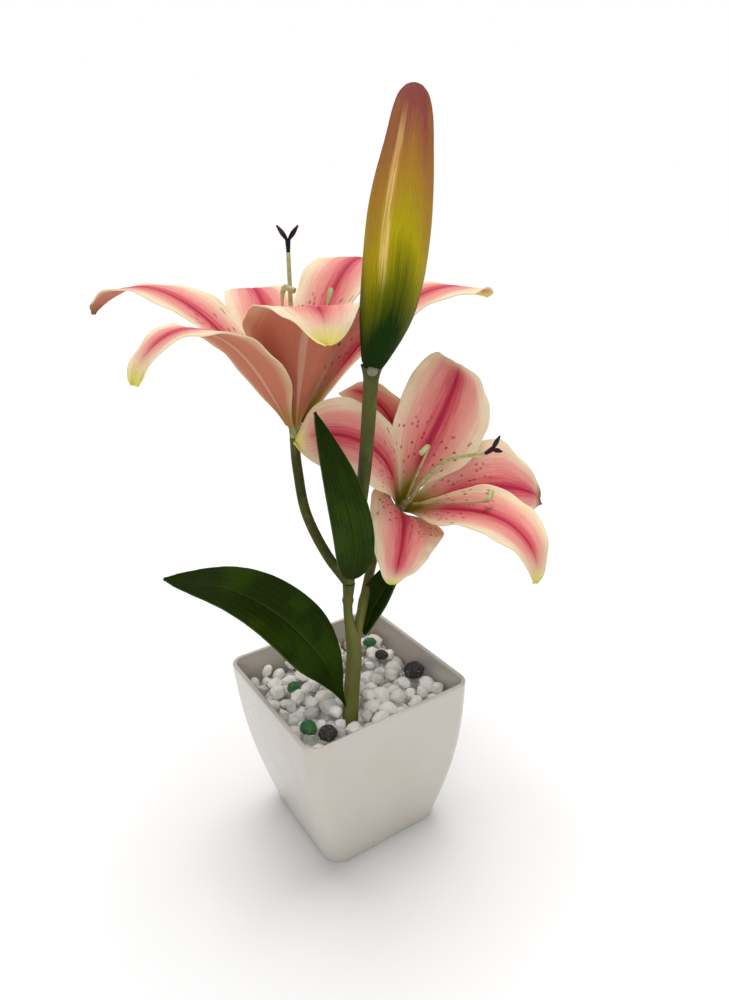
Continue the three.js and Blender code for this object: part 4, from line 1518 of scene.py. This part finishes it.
def make_stigma(place, turn, reach):
    """The black stalk and its two prongs."""
    stalk = placed(place, [(0, 0, PISTIL_TOP), (0, 0, STALK_MIDDLE), (0, 0, FORK_HEIGHT)])
    pieces = [tube(stalk, lambda share: 0.8 + 0.35 * share, 12, 4)]
    across = Vector((math.cos(math.radians(turn)), math.sin(math.radians(turn)), 0)) * reach
    for side in (-1, 1):
        start = Vector((0, 0, FORK_HEIGHT - 0.6))
        middle = across * side * 0.45 + Vector((0, 0, 80.2))
        end = across * side + Vector((0, 0, STIGMA_TOP))
        pieces.append(tube(placed(place, [start, middle, end]), prong_radius, 20, 4))
    return join(pieces)


def stamen_radius(share):
    """A thread that thickens into its hooked tip."""
    return STAMEN_RADIUS * (0.95 + 1.1 * min(max((share - 0.8) / 0.1, 0), 1))


def make_stamen(place, turn, lean, length):
    """A stamen that leans out from the axis and hooks over at its end."""
    around = math.radians(turn)
    tilt = math.radians(lean)
    out = Vector((math.cos(around), math.sin(around), 0))
    side = Vector((-out.y, out.x, 0))
    ahead = Vector((0, 0, math.cos(tilt))) + out * math.sin(tilt)
    foot = out * 2.2 + Vector((0, 0, STAMEN_FOOT))
    top = foot + ahead * length
    hook = [top + ahead * 1.2 + side * 1.6, top + ahead * 0.6 + side * 4.2, top + side * 6.2]
    route = [foot, foot + ahead * length * 0.5, top - ahead * 2, *hook]
    return tube(placed(place, route), stamen_radius, 60, 4)


print("flower middles are ready")


# %% [markdown]
# The receptacle is a pale olive, the pistil and stamens are a pale yellow green
# rubber, and the stigma is almost black with a purple cast.

# %% Finishes of the middle parts
PALE_RUBBER = (0.52, 0.53, 0.27)
PALE_RUBBER_SHADE = (0.36, 0.38, 0.14)
STIGMA_BLACK = (0.012, 0.008, 0.012)
STIGMA_PURPLE = (0.05, 0.018, 0.035)
RECEPTACLE_OLIVE = (0.20, 0.20, 0.05)
RECEPTACLE_PALE = (0.45, 0.40, 0.18)


def rubber(name, body, shade, roughness):
    """Soft moulded rubber in two cloudy tones."""
    finish = Finish(name)
    clouds = finish.where().noise(330, 4)
    colour = finish.colour(body).mix(shade, clouds.rise(0.4, 0.7))
    return finish.paint(colour, roughness + clouds * 0.2, clouds, 0.0004)


pistil_finish = rubber("pistil_rubber", PALE_RUBBER, PALE_RUBBER_SHADE, 0.4)
stigma_finish = rubber("stigma_rubber", STIGMA_BLACK, STIGMA_PURPLE, 0.35)
receptacle_finish = rubber("receptacle_plastic", RECEPTACLE_OLIVE, RECEPTACLE_PALE, 0.45)


def add_middle(flower, place):
    """The receptacle, pistil, stigma and stamens of one flower."""
    receptacle = make_receptacle(place)
    hand_in(receptacle, flower + "_cone", "throat", [receptacle_finish], flower + "_receptacle")
    pistil = make_pistil(place, PISTIL_BOWS[flower])
    hand_in(pistil, flower + "_rod", "pistil", [pistil_finish], flower + "_pistil")
    stigma = make_stigma(place, *STIGMA_FORKS[flower])
    hand_in(stigma, flower + "_fork", "stigma", [stigma_finish], flower + "_stigma")
    for number, (turn, lean, length) in enumerate(STAMENS[flower], start=1):
        stamen = make_stamen(place, turn, lean, length)
        hand_in(stamen, f"{flower}_thread_{number}", "pistil", [pistil_finish],
                f"{flower}_stamen_{number}")


add_middle("upper", UPPER_PLACE)
add_middle("lower", LOWER_PLACE)
